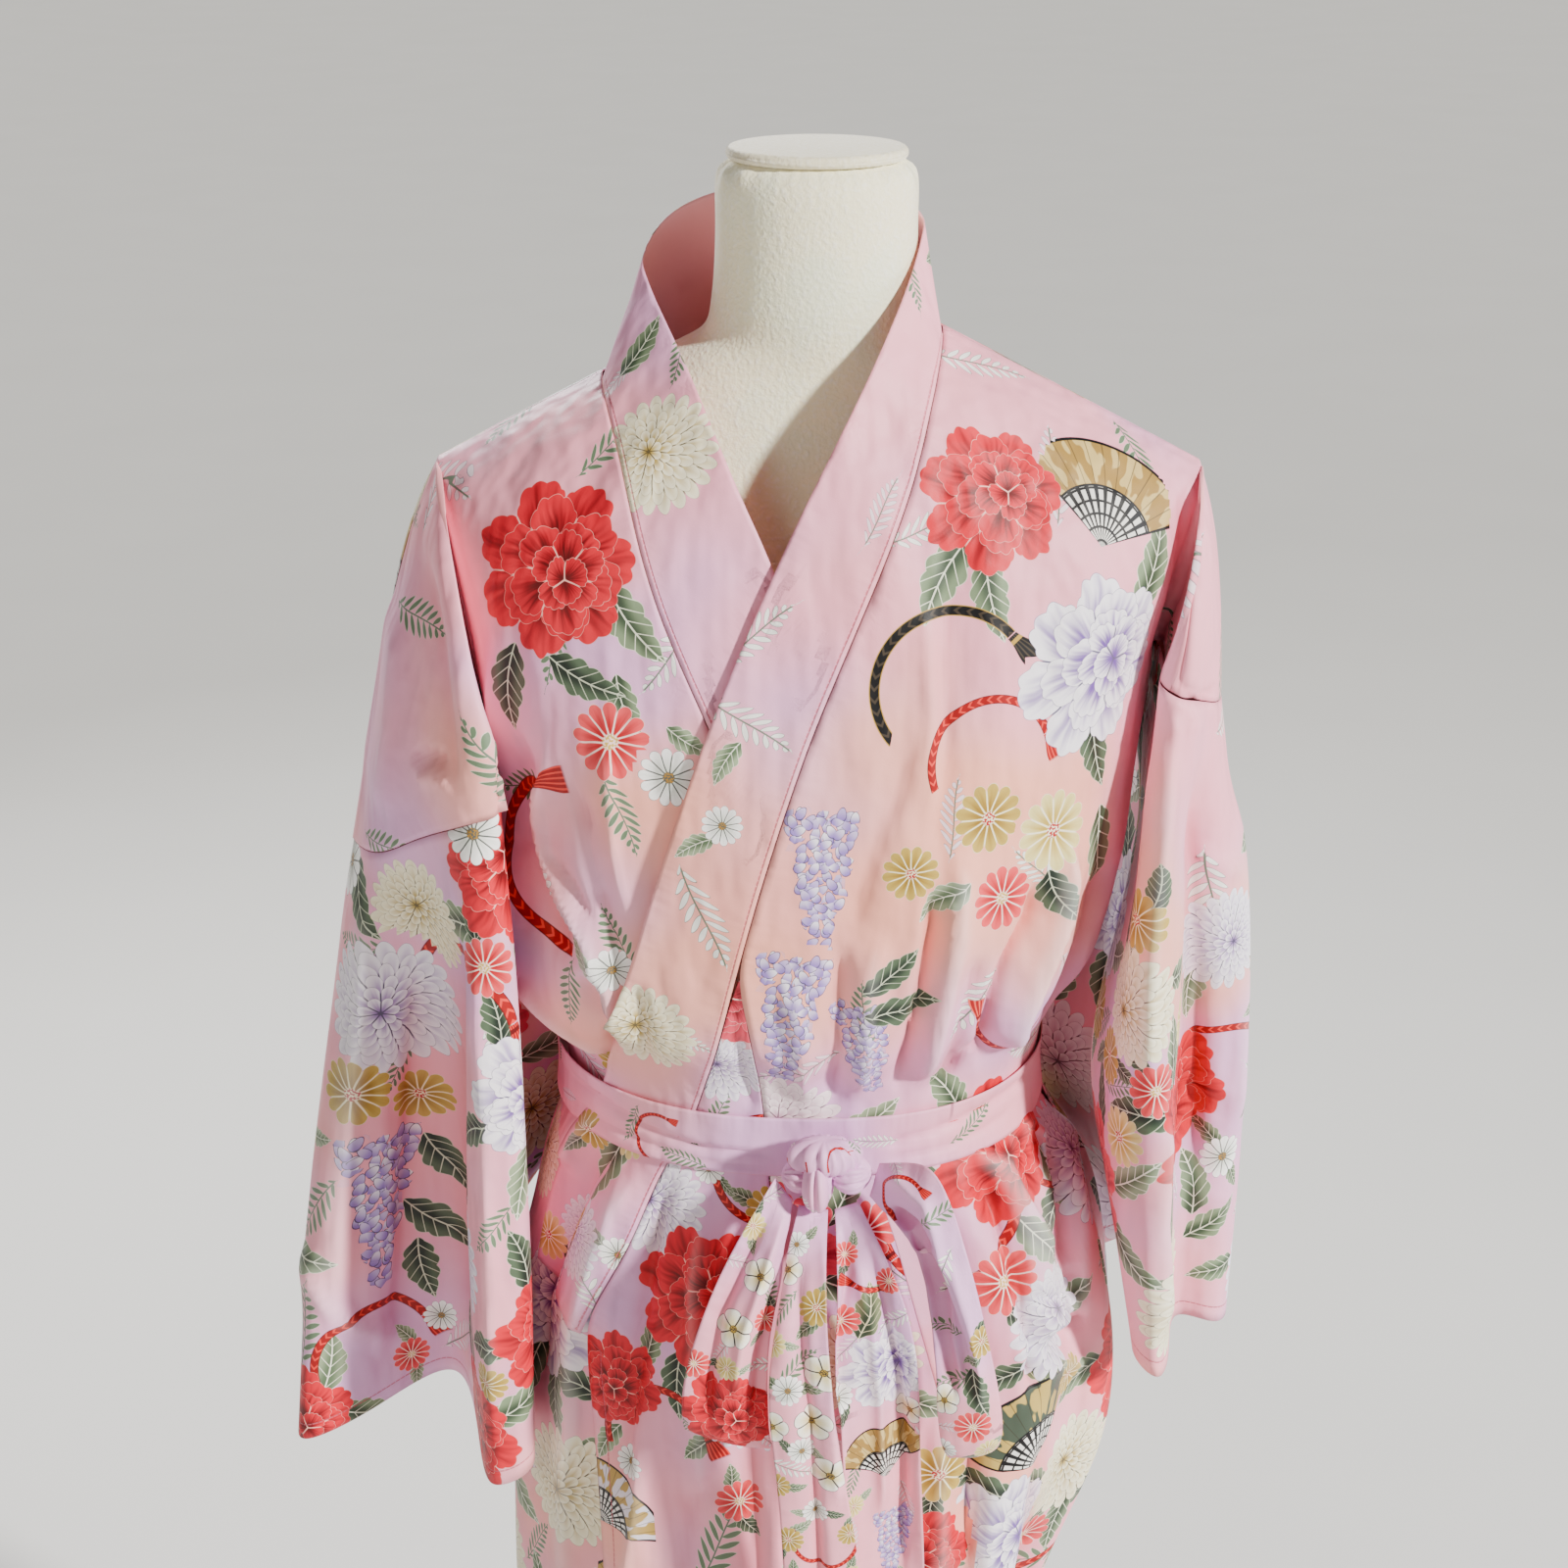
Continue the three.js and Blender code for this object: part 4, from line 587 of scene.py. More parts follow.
def velour(name, pale, shadeTint):  # brushed pile, whiter where the nap stands up
    material, g, shader, place = newMaterial(name, pile)
    nap = g.noise(place, 420.0, 3.0)
    brushed = g.spread(g.noise(place, 26.0, 3.0), 0.4, 0.65)
    colour = g.blend(brushed, linear(pale), linear(shadeTint))
    colour = g.blend(g.spread(nap, 0.45, 0.75, 0.0, 0.35), colour, linear("ffffff"))
    g.feed(shader.inputs["Base Color"], colour)
    g.feed(shader.inputs["Normal"], bumpFrom(g, nap, 0.0008, 0.9))
    return material


def paintedSteel():
    material, g, shader, place = newMaterial("painted_steel", {})
    peel = g.noise(place, 380.0, 2.0)
    wear = g.spread(g.noise(place, 9.0, 4.0), 0.45, 0.75)
    g.feed(shader.inputs["Base Color"], g.blend(wear, linear("dcdddf"), linear("cfd0d1")))
    g.feed(shader.inputs["Roughness"], g.value("MULTIPLY_ADD", wear, 0.12, 0.3))
    g.feed(shader.inputs["Normal"], bumpFrom(g, peel, 0.0002, 0.35))
    return material


def paleFloor():
    material, g, shader, place = newMaterial("pale_floor", {"Roughness": 0.75})
    g.feed(shader.inputs["Base Color"], g.blend(g.noise(place, 3.0, 2.0), linear("dededc"), linear("d8d8d6")))
    return material


motifGroups = {kind: motifGroup(kind, row["draw"]) for kind, row in motifKinds.items()}
# faces with one motif or none get a lighter material of the same look, so the render is quicker
satins = {"plain": printedSatin("satin_plain", []), "mixed": printedSatin("satin_mixed", list(motifKinds))}
satins.update({kind: printedSatin("satin_" + kind, [kind]) for kind in motifKinds})
reverse = reverseSatin()
formCloth = velour("form_velour", "f8f2cf", "eef0d2")
capCloth = velour("cap_cloth", "ece4c4", "e6dfc0")
steel = paintedSteel()
floor.data.materials.append(paleFloor())
print("materials made", flush=True)

# cloth pieces: level of smoothing, cut size, how each hangs and what it lies on
clothPieces = {
    "back": {"detail": 2, "cut": (0.62, 1.28), "area": 0.64, "held": "hung", "on": ["form_body"]},
    "front_left": {"detail": 3, "cut": (0.36, 1.28), "area": 0.325, "held": "hung", "on": ["form_body"]},
    "front_right": {"detail": 3, "cut": (0.36, 1.28), "area": 0.315, "held": "hung", "on": ["form_body"]},
    "overlap_left": {"detail": 3, "cut": (0.13, 0.97), "area": 0.088, "held": "hung", "on": ["front_left"]},
    "overlap_right": {"detail": 3, "cut": (0.11, 0.97), "area": 0.061, "held": "hung", "on": ["front_right"]},
    "collar": {"detail": 3, "cut": (0.055, 1.45), "held": "stretched",
               "on": ["front_left", "front_right"]},
    "sleeve_left": {"detail": 3, "cut": (0.42, 0.41), "held": "hung", "on": ["front_left"]},
    "sleeve_right": {"detail": 3, "cut": (0.50, 0.42), "held": "hung", "on": ["front_right"]},
    "belt_waist": {"detail": 3, "cut": (0.86, 0.035), "held": "stretched", "on": ["back"]},
    "bow_loop_right": {"detail": 3, "cut": (0.035, 0.26), "held": "draped",
                       "on": ["belt_knot"]},
    "bow_loop_left": {"detail": 3, "cut": (0.035, 0.27), "held": "draped", "on": ["belt_knot"]},
    "belt_tail_right": {"detail": 3, "cut": (0.038, 0.36), "held": "draped",
                        "on": ["belt_knot"]},
    "belt_tail_left": {"detail": 3, "cut": (0.04, 0.34), "held": "draped", "on": ["belt_knot"]},
}
cadWall = 1.4 * mm
clothWall = 0.5 * mm
welded = 0.01 * mm  # corners nearer than this are one


def coords(mesh):
    flat = np.empty(len(mesh.vertices) * 3, dtype=np.float32)
    mesh.vertices.foreach_get("co", flat)
    return flat.reshape(-1, 3).astype(np.float64)


def normalsOf(mesh):
    flat = np.empty(len(mesh.vertices) * 3, dtype=np.float32)
    mesh.vertices.foreach_get("normal", flat)
    return flat.reshape(-1, 3).astype(np.float64)


def setCoords(mesh, points):
    mesh.vertices.foreach_set("co", points.astype(np.float32).ravel())
    mesh.update()


def connectedFaces(bm):
    seen, groups = set(), []
    for face in bm.faces:
        if face in seen:
            continue
        seen.add(face)
        waiting, group = [face], []
        while waiting:
            one = waiting.pop()
            group.append(one)
            for edge in one.edges:
                for other in edge.link_faces:
                    if other not in seen:
                        seen.add(other)
                        waiting.append(other)
        groups.append(group)
    return groups


def plainObject(name, bm):  # a new piece with the shape alone
    bm.verts.index_update()
    mesh = bpy.data.meshes.new(name)
    mesh.from_pydata([v.co[:] for v in bm.verts], [], [[v.index for v in f.verts] for f in bm.faces])
    bm.free()
    made = bpy.data.objects.new(name, mesh)
    bpy.context.scene.collection.objects.link(made)
    return made


def outerShell(name):  # the outer side of a node's wall, as quads
    bm = bmesh.new()
    bm.from_mesh(bpy.data.objects[name].data)
    bmesh.ops.remove_doubles(bm, verts=bm.verts, dist=welded)
    acrossWall = [edge for edge in bm.edges if abs(edge.calc_length() - cadWall) < 0.004 * mm]
    rim = {face for edge in acrossWall for face in edge.link_faces}
    bmesh.ops.delete(bm, geom=list(rim), context="FACES")
    middle = sum((v.co for v in bm.verts), Vector()) / len(bm.verts)
    if not name.startswith("sleeve"):
        middle.x = middle.y = 0
    drop = 40 * mm if name == "collar" else 0

    def outward(group):  # how far the group's faces look away from the piece's upright middle line
        total = 0
        for face in group:
            centre = face.calc_center_median()
            away = centre - Vector((middle.x, middle.y, centre.z - drop))
            total += face.normal.dot(away) * face.calc_area()
        return total

    groups = sorted(connectedFaces(bm), key=outward)
    bmesh.ops.delete(bm, geom=[f for group in groups[:-1] for f in group], context="FACES")
    bmesh.ops.join_triangles(bm, faces=bm.faces, angle_face_threshold=1.2, angle_shape_threshold=1.6)
    return plainObject(name + "_cloth", bm)


def applied(piece, kind, **settings):
    modifier = piece.modifiers.new(kind.lower(), kind)
    for key, value in settings.items():
        setattr(modifier, key, value)
    bpy.context.view_layer.objects.active = piece
    bpy.ops.object.modifier_apply(modifier=modifier.name)


cloth = {}
for name, row in clothPieces.items():
    cloth[name] = outerShell(name)
    levels = row["detail"] - 0
    applied(cloth[name], "SUBSURF", levels=levels, boundary_smooth="PRESERVE_CORNERS")
    cloth[name].data.shade_smooth()
# the left overlap's top runs up under the collar
tip = {"from": 22 * mm, "rise": 13 * mm, "lean": -0.36, "back": 0.7 * mm}
points = coords(cloth["overlap_left"].data)
climb = np.clip((points[:, 2] - points[:, 2].max()) / tip["from"] + 1, 0, 1) ** 2
points[:, 2] += climb * tip["rise"]
points[:, 0] -= climb * tip["rise"] * tip["lean"]
points[:, 1] += climb * tip["back"]
setCoords(cloth["overlap_left"].data, points)
print("shells", {n: len(o.data.polygons) for n, o in cloth.items()}, flush=True)

# distance to the nearest edge of each piece, for seams and hems
def edgeRun(mesh):
    bm = bmesh.new()
    bm.from_mesh(mesh)
    places, runs, done = [], [], set()
    for first in (e for e in bm.edges if e.is_boundary):
        if first in done:
            continue
        edge, vert, run = first, first.verts[0], 0.0
        while edge and edge not in done:
            done.add(edge)
            places.append(vert.co.copy())
            runs.append(run)
            other = edge.other_vert(vert)
            middle = (vert.co + other.co) / 2
            run += (other.co - vert.co).length
            places.append(middle)
            runs.append(run - (other.co - vert.co).length / 2)
            vert = other
            edge = next((e for e in vert.link_edges if e.is_boundary and e not in done), None)
    bm.free()
    return places, runs


edgeRuns = {name: edgeRun(piece.data) for name, piece in cloth.items()}
trees = {}
for name, (places, _) in edgeRuns.items():
    trees[name] = KDTree(len(places))
    for index, place in enumerate(places):
        trees[name].insert(place, index)
    trees[name].balance()
sewnPieces = [name for name in clothPieces if not name.startswith(("belt", "bow"))]
sewnWithin = 4 * mm  # an edge this near to another piece's edge is a seam
stitchRows = {"collar": (2.6 * mm, 0)}  # how far the stitches are from a seam and from a free edge
hemStitch = (0, 9 * mm)
for name, piece in cloth.items():
    places, runs = edgeRuns[name]
    others = [trees[n] for n in sewnPieces if n != name] if name in sewnPieces else []
    sewn = [any(t.find(p)[2] < sewnWithin for t in others) for p in places]
    stitch = stitchRows.get(name, hemStitch if name in sewnPieces else (0, 0))
    rows = []
    for vertex in piece.data.vertices:
        _, index, distance = trees[name].find(vertex.co)
        rows += (distance, runs[index], stitch[0 if sewn[index] else 1])
    attribute = piece.data.attributes.new("edge", "FLOAT_VECTOR", "POINT")
    attribute.data.foreach_set("vector", rows)
print("edges measured", flush=True)

# the print, piece by piece: each motif's kind, its x and z seen from the front, half length, turn and variant
frontMotifs = {
    "front_right": [
        ("peony", -128, 1318, 44, 70, 0), ("leaf", -88, 1296, 24, -50, 0), ("leaf", -112, 1268, 22, -20, 1),
        ("leaf", -150, 1256, 24, -95, 1), ("leaf", -92, 1255, 18, -70, 0), ("daisy", -100, 1238, 21, 10, 0),
        ("daisy", -72, 1221, 16, 40, 2), ("leaf", -62, 1240, 13, -30, 2), ("sprig", -96, 1200, 24, -80, 1),
        ("cord", -134, 1160, 58, 100, 0), ("daisy", -134, 1150, 11, 0, 2), ("daisy", -102, 1112, 12, 60, 2),
        ("leaf", -118, 1118, 14, 150, 2), ("sprig", -126, 1090, 22, -110, 1),
        ("daisy", -86, 1078, 9, 30, 0), ("mum", -150, 950, 30, 90, 0),
    ],
    "front_left": [
        ("peony", 84, 1353, 37, 110, 0), ("leaf", 60, 1318, 24, -120, 0), ("leaf", 84, 1308, 22, -80, 0),
        ("fan", 142, 1342, 40, -30, 0), ("peony", 138, 1268, 46, 95, 2), ("leaf", 166, 1312, 26, 60, 0),
        ("leaf", 140, 1222, 24, -75, 1), ("cord", 62, 1270, 48, 40, 1), ("cord", 84, 1232, 40, 20, 0),
        ("daisy", 84, 1200, 19, 0, 1), ("daisy", 118, 1186, 22, 25, 3), ("daisy", 46, 1176, 15, 50, 1),
        ("daisy", 92, 1156, 18, 10, 0), ("leaf", 62, 1160, 16, -140, 2), ("leaf", 146, 1160, 30, -70, 0),
        ("leaf", 122, 1150, 18, -60, 1), ("wisteria", 2, 1170, 44, -90, 0),
        ("wisteria", -14, 1090, 46, -95, 0), ("wisteria", 26, 1072, 36, -80, 0),
        ("leaf", 44, 1100, 20, 10, 1), ("leaf", 38, 1122, 18, 40, 1), ("sprig", 84, 1096, 26, -130, 0),
        ("cord", 112, 1080, 40, 185, 2), ("cord", 74, 960, 46, -150, 0), ("cord", 128, 972, 34, 170, 0),
        ("leaf", 138, 888, 24, 20, 0), ("leaf", 128, 866, 20, -30, 3), ("fan", 122, 826, 38, 20, 1),
        ("leaf", 92, 800, 22, 160, 1), ("peony", 108, 764, 42, 80, 2), ("peony", 54, 760, 34, 60, 0),
        ("mum", 30, 830, 24, 60, 1),
    ],
    "collar": [
        ("mum", -76, 1372, 32, 95, 0), ("leaf", -86, 1412, 18, 80, 0), ("sprig", -30, 1294, 24, 30, 0),
        ("sprig", -34, 1252, 26, -40, 0), ("leaf", -44, 1232, 13, -120, 2), ("daisy", -46, 1200, 11, 0, 2),
        ("sprig", -56, 1150, 30, -75, 0), ("leaf", -60, 1188, 12, -150, 2), ("mum", -88, 1078, 30, 60, 0),
        ("leaf", -112, 975, 26, -110, 0), ("mum", -128, 935, 24, 60, 1),
    ],
    "overlap_left": [
        ("mum", -84, 968, 30, 70, 1), ("peony", -58, 925, 40, 120, 0), ("leaf", -72, 874, 22, -90, 1),
        ("cord", -86, 840, 40, 20, 0), ("daisy", -100, 818, 10, 0, 2), ("sprig", -52, 776, 34, 60, 1),
    ],
    "sleeve_right": [
        ("mum", -204, 1120, 34, 60, 0), ("leaf", -240, 1118, 26, -50, 1), ("mum", -226, 1056, 44, 110, 1),
        ("daisy", -250, 1004, 21, 0, 1), ("daisy", -216, 992, 17, 30, 1),
        ("wisteria", -242, 922, 58, -92, 0), ("leaf", -206, 946, 22, -60, 1),
        ("leaf", -212, 904, 24, -40, 1), ("leaf", -222, 872, 22, -80, 1), ("cord", -254, 826, 46, 30, 0),
        ("daisy", -216, 838, 11, 0, 2),
    ],
    "sleeve_left": [
        ("sprig", 212, 1120, 30, -85, 0), ("sprig", 234, 1080, 34, -100, 1), ("cord", 222, 1010, 38, 60, 0),
        ("leaf", 212, 940, 22, 100, 0), ("leaf", 226, 915, 20, 40, 0),
    ],
    "belt_tail_right": [
        ("plum", 4, 918, 11, 0, 0), ("plum", -1, 888, 11, 20, 0), ("plum", 8, 858, 11, 50, 0),
        ("cord", 6, 812, 22, 185, 0), ("sprig", 4, 766, 24, -90, 1), ("daisy", 8, 700, 12, -20, 0),
    ],
    "belt_tail_left": [
        ("leaf", 26, 940, 16, 80, 3), ("peony", 38, 905, 24, 90, 2), ("fan", 36, 850, 22, 10, 0),
        ("wisteria", 42, 790, 26, -90, 0), ("peony", 44, 735, 22, 60, 0),
    ],
    "bow_loop_right": [
        ("plum", -28, 960, 10, 0, 0), ("plum", -42, 934, 11, 30, 0), ("peony", -46, 884, 26, 80, 0),
    ],
    "bow_loop_left": [
        ("cord", 44, 1000, 18, 60, 0), ("leaf", 84, 900, 16, -70, 1), ("daisy", 82, 880, 11, 0, 0),
    ],
    "belt_knot": [
        ("cord", 12, 1018, 11, 30, 0), ("cord", -8, 1016, 9, 200, 0),
    ],
    "belt_waist": [
        ("cord", -84, 1006, 18, 70, 0), ("sprig", 84, 1010, 16, 20, 1),
    ],
}
# what fills the rest of each piece, sown from a fixed seed: how many tries and the size of each motif
sowing = [
    {"kind": "peony", "tries": 70, "size": (36, 46), "variants": [0, 2, 0, 1], "turn": (0, 360),
     "leaves": 5, "leafSize": (0.48, 0.62)},
    {"kind": "mum", "tries": 60, "size": (30, 42), "variants": [0, 1, 1, 2], "turn": (0, 360), "leaves": 3,
     "leafSize": (0.5, 0.62)},
    {"kind": "fan", "tries": 8, "size": (34, 40), "variants": [0, 1, 2], "turn": (-50, 50)},
    {"kind": "daisy", "tries": 200, "size": (12, 21), "variants": [0, 1, 2, 3, 1], "turn": (0, 360),
     "leaves": 2, "leafSize": (0.7, 0.9)},
    {"kind": "plum", "tries": 60, "size": (16, 20), "variants": [0, 0, 1], "turn": (0, 360)},
    {"kind": "wisteria", "tries": 30, "size": (38, 56), "variants": [0, 1], "turn": (-110, -70),
     "leaves": 2, "leafSize": (0.3, 0.4)},
    {"kind": "cord", "tries": 50, "size": (40, 60), "variants": [0, 0, 2], "turn": (0, 360)},
    {"kind": "sprig", "tries": 220, "size": (20, 34), "variants": [0, 1, 1, 2], "turn": (0, 360)},
]
fullTriesArea = 0.35  # square metres of mesh that get the full number of tries
seeds = {"back": 11, "front_left": 12, "front_right": 13, "overlap_left": 14, "overlap_right": 15,
         "collar": 16,
         "sleeve_left": 17, "sleeve_right": 18, "belt_waist": 19, "belt_tail_left": 20, "belt_tail_right": 21,
         "bow_loop_left": 22, "bow_loop_right": 23, "belt_knot": 24}
# stretches of bare ground, as ranges of x, y and z
plainZones = [
    {"on": "front_right", "x": (-300, 0), "y": (-300, 30), "z": (1040, 1420)},
    {"on": "front_left", "x": (-60, 300), "y": (-300, 30), "z": (1040, 1420)},
    {"on": "sleeve_left", "x": (150, 300), "y": (-300, 0), "z": (1130, 1300)},
    {"on": "bow_loop_left", "x": (10, 80), "y": (-300, -100), "z": (905, 1040)},
    {"on": "belt_waist", "x": (-300, 300), "y": (-300, 300), "z": (900, 1100)},
    {"on": "collar", "x": (-300, 300), "y": (-300, 0), "z": (1040, 1500)},
]


farOff = 9.0  # a print's place on faces that it doesn't reach
# how motifs share the cloth: lengths in metres, the rest as shares of the sizes that meet
laying = {"margin": 9 * mm, "leafMiss": 6 * mm, "leafRoom": 0.7, "leafApart": 0.55, "overLoose": 0.4,
          "overOther": 0.84, "sameSide": -0.2}
looseKinds = {"leaf", "leaf_low", "leaf_mid", "sprig", "cord"}


class PrintedPiece:
    def __init__(self, mesh):
        self.mesh = mesh
        self.points, self.normals = coords(mesh), normalsOf(mesh)
        self.at = [tuple(p) for p in self.points.tolist()]
        self.up = [tuple(n) for n in self.normals.tolist()]
        self.faces = [tuple(f.vertices) for f in mesh.polygons]
        self.start = [f.loop_start for f in mesh.polygons]
        self.facesOf = [[] for _ in self.at]
        near = [set() for _ in self.at]
        for index, face in enumerate(self.faces):
            for vertex in face:
                self.facesOf[vertex].append(index)
                near[vertex].update(face)
        self.near = [[(j, math.dist(self.at[i], self.at[j])) for j in sorted(group) if j != i]
                     for i, group in enumerate(near)]
        self.prints = {kind: np.tile([farOff, farOff, 0.0], (len(mesh.loops), 1)) for kind in motifKinds}
        self.taken = []
        self.tree = BVHTree.FromPolygons([Vector(p) for p in self.at], self.faces)
        areas = np.empty(len(self.faces))
        mesh.polygons.foreach_get("area", areas)
        self.weights = areas.cumsum() / areas.sum()
        self.area = areas.sum()

    def unroll(self, first, centre, direction, reach):  # flat places and frames of the cloth round one point
        placed, frames, best = {}, {}, {first: 0.0}
        queue = [(0.0, first)]
        while queue:
            cost, one = heapq.heappop(queue)
            if one in placed:
                continue
            n = self.up[one]
            if placed:
                u = v = fx = fy = fz = total = 0.0
                for other, length in self.near[one]:
                    if other not in placed:
                        continue
                    (px, py, pz), (ax, ay, az), (bx, by, bz) = self.at[other], *frames[other]
                    dx, dy, dz = self.at[one][0] - px, self.at[one][1] - py, self.at[one][2] - pz
                    du, dv = dx * ax + dy * ay + dz * az, dx * bx + dy * by + dz * bz
                    weight = 1 / length
                    stretch = length / max(math.hypot(du, dv), 1e-7)
                    u += (placed[other][0] + du * stretch) * weight
                    v += (placed[other][1] + dv * stretch) * weight
                    fx, fy, fz = fx + ax * weight, fy + ay * weight, fz + az * weight
                    total += weight
                place = (u / total, v / total)
            else:
                fx, fy, fz = direction
                place = None
            lift = fx * n[0] + fy * n[1] + fz * n[2]
            fx, fy, fz = fx - lift * n[0], fy - lift * n[1], fz - lift * n[2]
            size = max(math.sqrt(fx * fx + fy * fy + fz * fz), 1e-7)
            along = (fx / size, fy / size, fz / size)
            across = (n[1] * along[2] - n[2] * along[1], n[2] * along[0] - n[0] * along[2],
                      n[0] * along[1] - n[1] * along[0])
            if place is None:
                off = [a - b for a, b in zip(self.at[one], centre)]
                place = (sum(a * b for a, b in zip(off, along)), sum(a * b for a, b in zip(off, across)))
            placed[one], frames[one] = place, (along, across)
            for other, length in self.near[one]:
                if other not in placed and cost + length < min(best.get(other, 1e9), reach):
                    best[other] = cost + length
                    heapq.heappush(queue, (cost + length, other))
        return placed, frames

    def clearest(self, kind, centre):  # the layer of leaves that is freest here
        if not kind.startswith("leaf"):
            return kind
        layers = {"leaf": 1.0, "leaf_mid": 1.0, "leaf_low": 1.0}
        for other in self.taken:
            if other["kind"] in layers:
                clear = math.dist(other["centre"], centre) - other["size"]
                layers[other["kind"]] = min(layers[other["kind"]], clear)
        return max(layers, key=layers.get)

    def stamp(self, kind, first, centre, direction, size, variant, wide=1.0):
        kind = self.clearest(kind, centre)
        reach = motifKinds[kind]["reach"]
        far = math.hypot(*reach) * size * wide + laying["margin"]
        placed, frames = self.unroll(first, centre, direction, far)
        wrap = reach[0] * size if reach[0] == reach[1] else None
        values, used = self.prints[kind], set()
        for vertex, (u, v) in placed.items():
            if wrap:
                inside = u * u + v * v < wrap * wrap
            else:
                inside = abs(u) < reach[0] * size and abs(v) < reach[1] * size
            if inside:
                used.update(self.facesOf[vertex])
        for face in used:
            corners = self.faces[face]
            if all(c in placed for c in corners):
                for offset, corner in enumerate(corners):
                    u, v = placed[corner]
                    values[self.start[face] + offset] = (u / size, v / size, variant)
        taken = {"kind": kind, "centre": np.array(centre), "size": size, "normal": self.normals[first]}
        self.taken.append(taken)
        return placed, frames

    def place(self, kind, hit, face, size, turn, variant, leaves=(), wide=1.0):
        corners = self.faces[face]
        first = min(corners, key=lambda c: math.dist(self.at[c], hit))
        normal = self.normals[first]
        up = np.array([0, 0, 1.0]) if abs(normal[2]) < 0.9 else np.array([0, 1.0, 0])
        right = np.cross(up, normal)
        right /= np.linalg.norm(right)
        angle = math.radians(turn)
        direction = right * math.cos(angle) + np.cross(normal, right) * math.sin(angle)
        placed, frames = self.stamp(kind, first, tuple(hit), tuple(direction), size, variant, wide)
        for leaf in leaves:
            away = math.radians(leaf["away"])
            spot = (math.cos(away) * leaf["far"] * size, math.sin(away) * leaf["far"] * size)
            near = min(placed, key=lambda i: (placed[i][0] - spot[0]) ** 2 + (placed[i][1] - spot[1]) ** 2)
            missed = math.dist(placed[near], spot) > laying["leafMiss"]
            if missed or not self.room(leaf["kind"], near, leaf["size"] * laying["leafRoom"]):
                continue
            along, across = frames[near]
            way = math.radians(leaf["away"] + leaf["tilt"])
            course = tuple(a * math.cos(way) + b * math.sin(way) for a, b in zip(along, across))
            self.stamp(leaf["kind"], near, self.at[near], course, leaf["size"], leaf["variant"])

    def room(self, kind, vertex, size):
        centre, normal = self.points[vertex], self.normals[vertex]
        for other in self.taken:
            if other["normal"] @ normal < laying["sameSide"]:
                continue
            if kind == "leaf" and other["kind"].startswith("leaf"):
                share = laying["leafApart"]
            elif other["kind"] == kind:
                share = motifKinds[kind]["reach"][0]
            else:
                share = laying["overLoose"] if looseKinds & {other["kind"], kind} else laying["overOther"]
            if np.linalg.norm(other["centre"] - centre) < (other["size"] + size) * share:
                return False
        return True

    def write(self):
        for kind, values in self.prints.items():
            attribute = self.mesh.attributes.new("print_" + kind, "FLOAT_VECTOR", "CORNER")
            attribute.data.foreach_set("vector", values.astype(np.float32).ravel())
        stamped = {kind: values[self.start, 0] < farOff - 1 for kind, values in self.prints.items()}
        count = sum(mask.astype(int) for mask in stamped.values())
        groups = {kind: mask & (count == 1) for kind, mask in stamped.items()}
        groups["mixed"] = count > 1
        choice = np.zeros(len(self.start), dtype=np.int32)
        self.mesh.materials.append(satins["plain"])
        for kind, mask in groups.items():
            if mask.any():
                choice[mask] = len(self.mesh.materials)
                self.mesh.materials.append(satins[kind])
        self.mesh.polygons.foreach_set("material_index", choice)


def isPlain(name, point):
    for row in (r for r in plainZones if r["on"] == name):
        ranges = (row["x"], row["y"], row["z"])
        if all(low * mm <= value <= high * mm for value, (low, high) in zip(point, ranges)):
            return True
    return False


def leavesRound(chance, row, size):
    return [{
        "kind": "leaf", "away": index * 360 / row.get("leaves", 0) + chance.uniform(-24, 24),
        "far": chance.uniform(1.18, 1.4), "size": size * chance.uniform(*row["leafSize"]),
        "tilt": chance.uniform(-30, 30), "variant": chance.choice([0, 0, 1, 2]),
    } for index in range(row.get("leaves", 0))]


def printPiece(name, mesh, small, skip):
    piece = PrintedPiece(mesh)
    for kind, x, z, size, turn, variant in frontMotifs.get(name, []):
        hit, _, face, _ = piece.tree.ray_cast(Vector((x * mm, -0.5, z * mm)), Vector((0, 1, 0)))
        if hit is None:
            hit, _, face, _ = piece.tree.find_nearest(Vector((x * mm, -0.12, z * mm)))
        piece.place(kind, hit, face, size * mm, turn, variant)
    chance = random.Random(seeds[name])
    share = piece.area / fullTriesArea
    for row in sowing:
        if row["kind"] in skip:
            continue
        for _ in range(max(2, round(row["tries"] * max(share, 0.25)))):
            face = min(int(np.searchsorted(piece.weights, chance.random())), len(piece.faces) - 1)
            size = chance.uniform(*row["size"]) * small * mm
            vertex = piece.faces[face][0]
            variant, turn = chance.choice(row["variants"]), chance.uniform(*row["turn"])
            leaves = leavesRound(chance, row, size)
            bare = row["kind"] != "sprig" and isPlain(name, piece.points[vertex])
            if bare or not piece.room(row["kind"], vertex, size):
                continue
            piece.place(row["kind"], piece.at[vertex], face, size, turn, variant, leaves,
                        1.4 if leaves else 1.0)
    piece.write()


def printRules(name):  # how much smaller the motifs are here, and the kinds that aren't sown
    if name.startswith(("belt", "bow")):
        return 0.5, ("fan", "mum", "peony", "wisteria")
    if name == "collar":
        return 0.75, ("peony", "fan", "wisteria", "mum", "cord")
    return 0.75 if name.startswith("overlap") else 1, ("plum",)


for name in clothPieces:
    printPiece(name, cloth[name].data, *printRules(name))
print("print laid", flush=True)

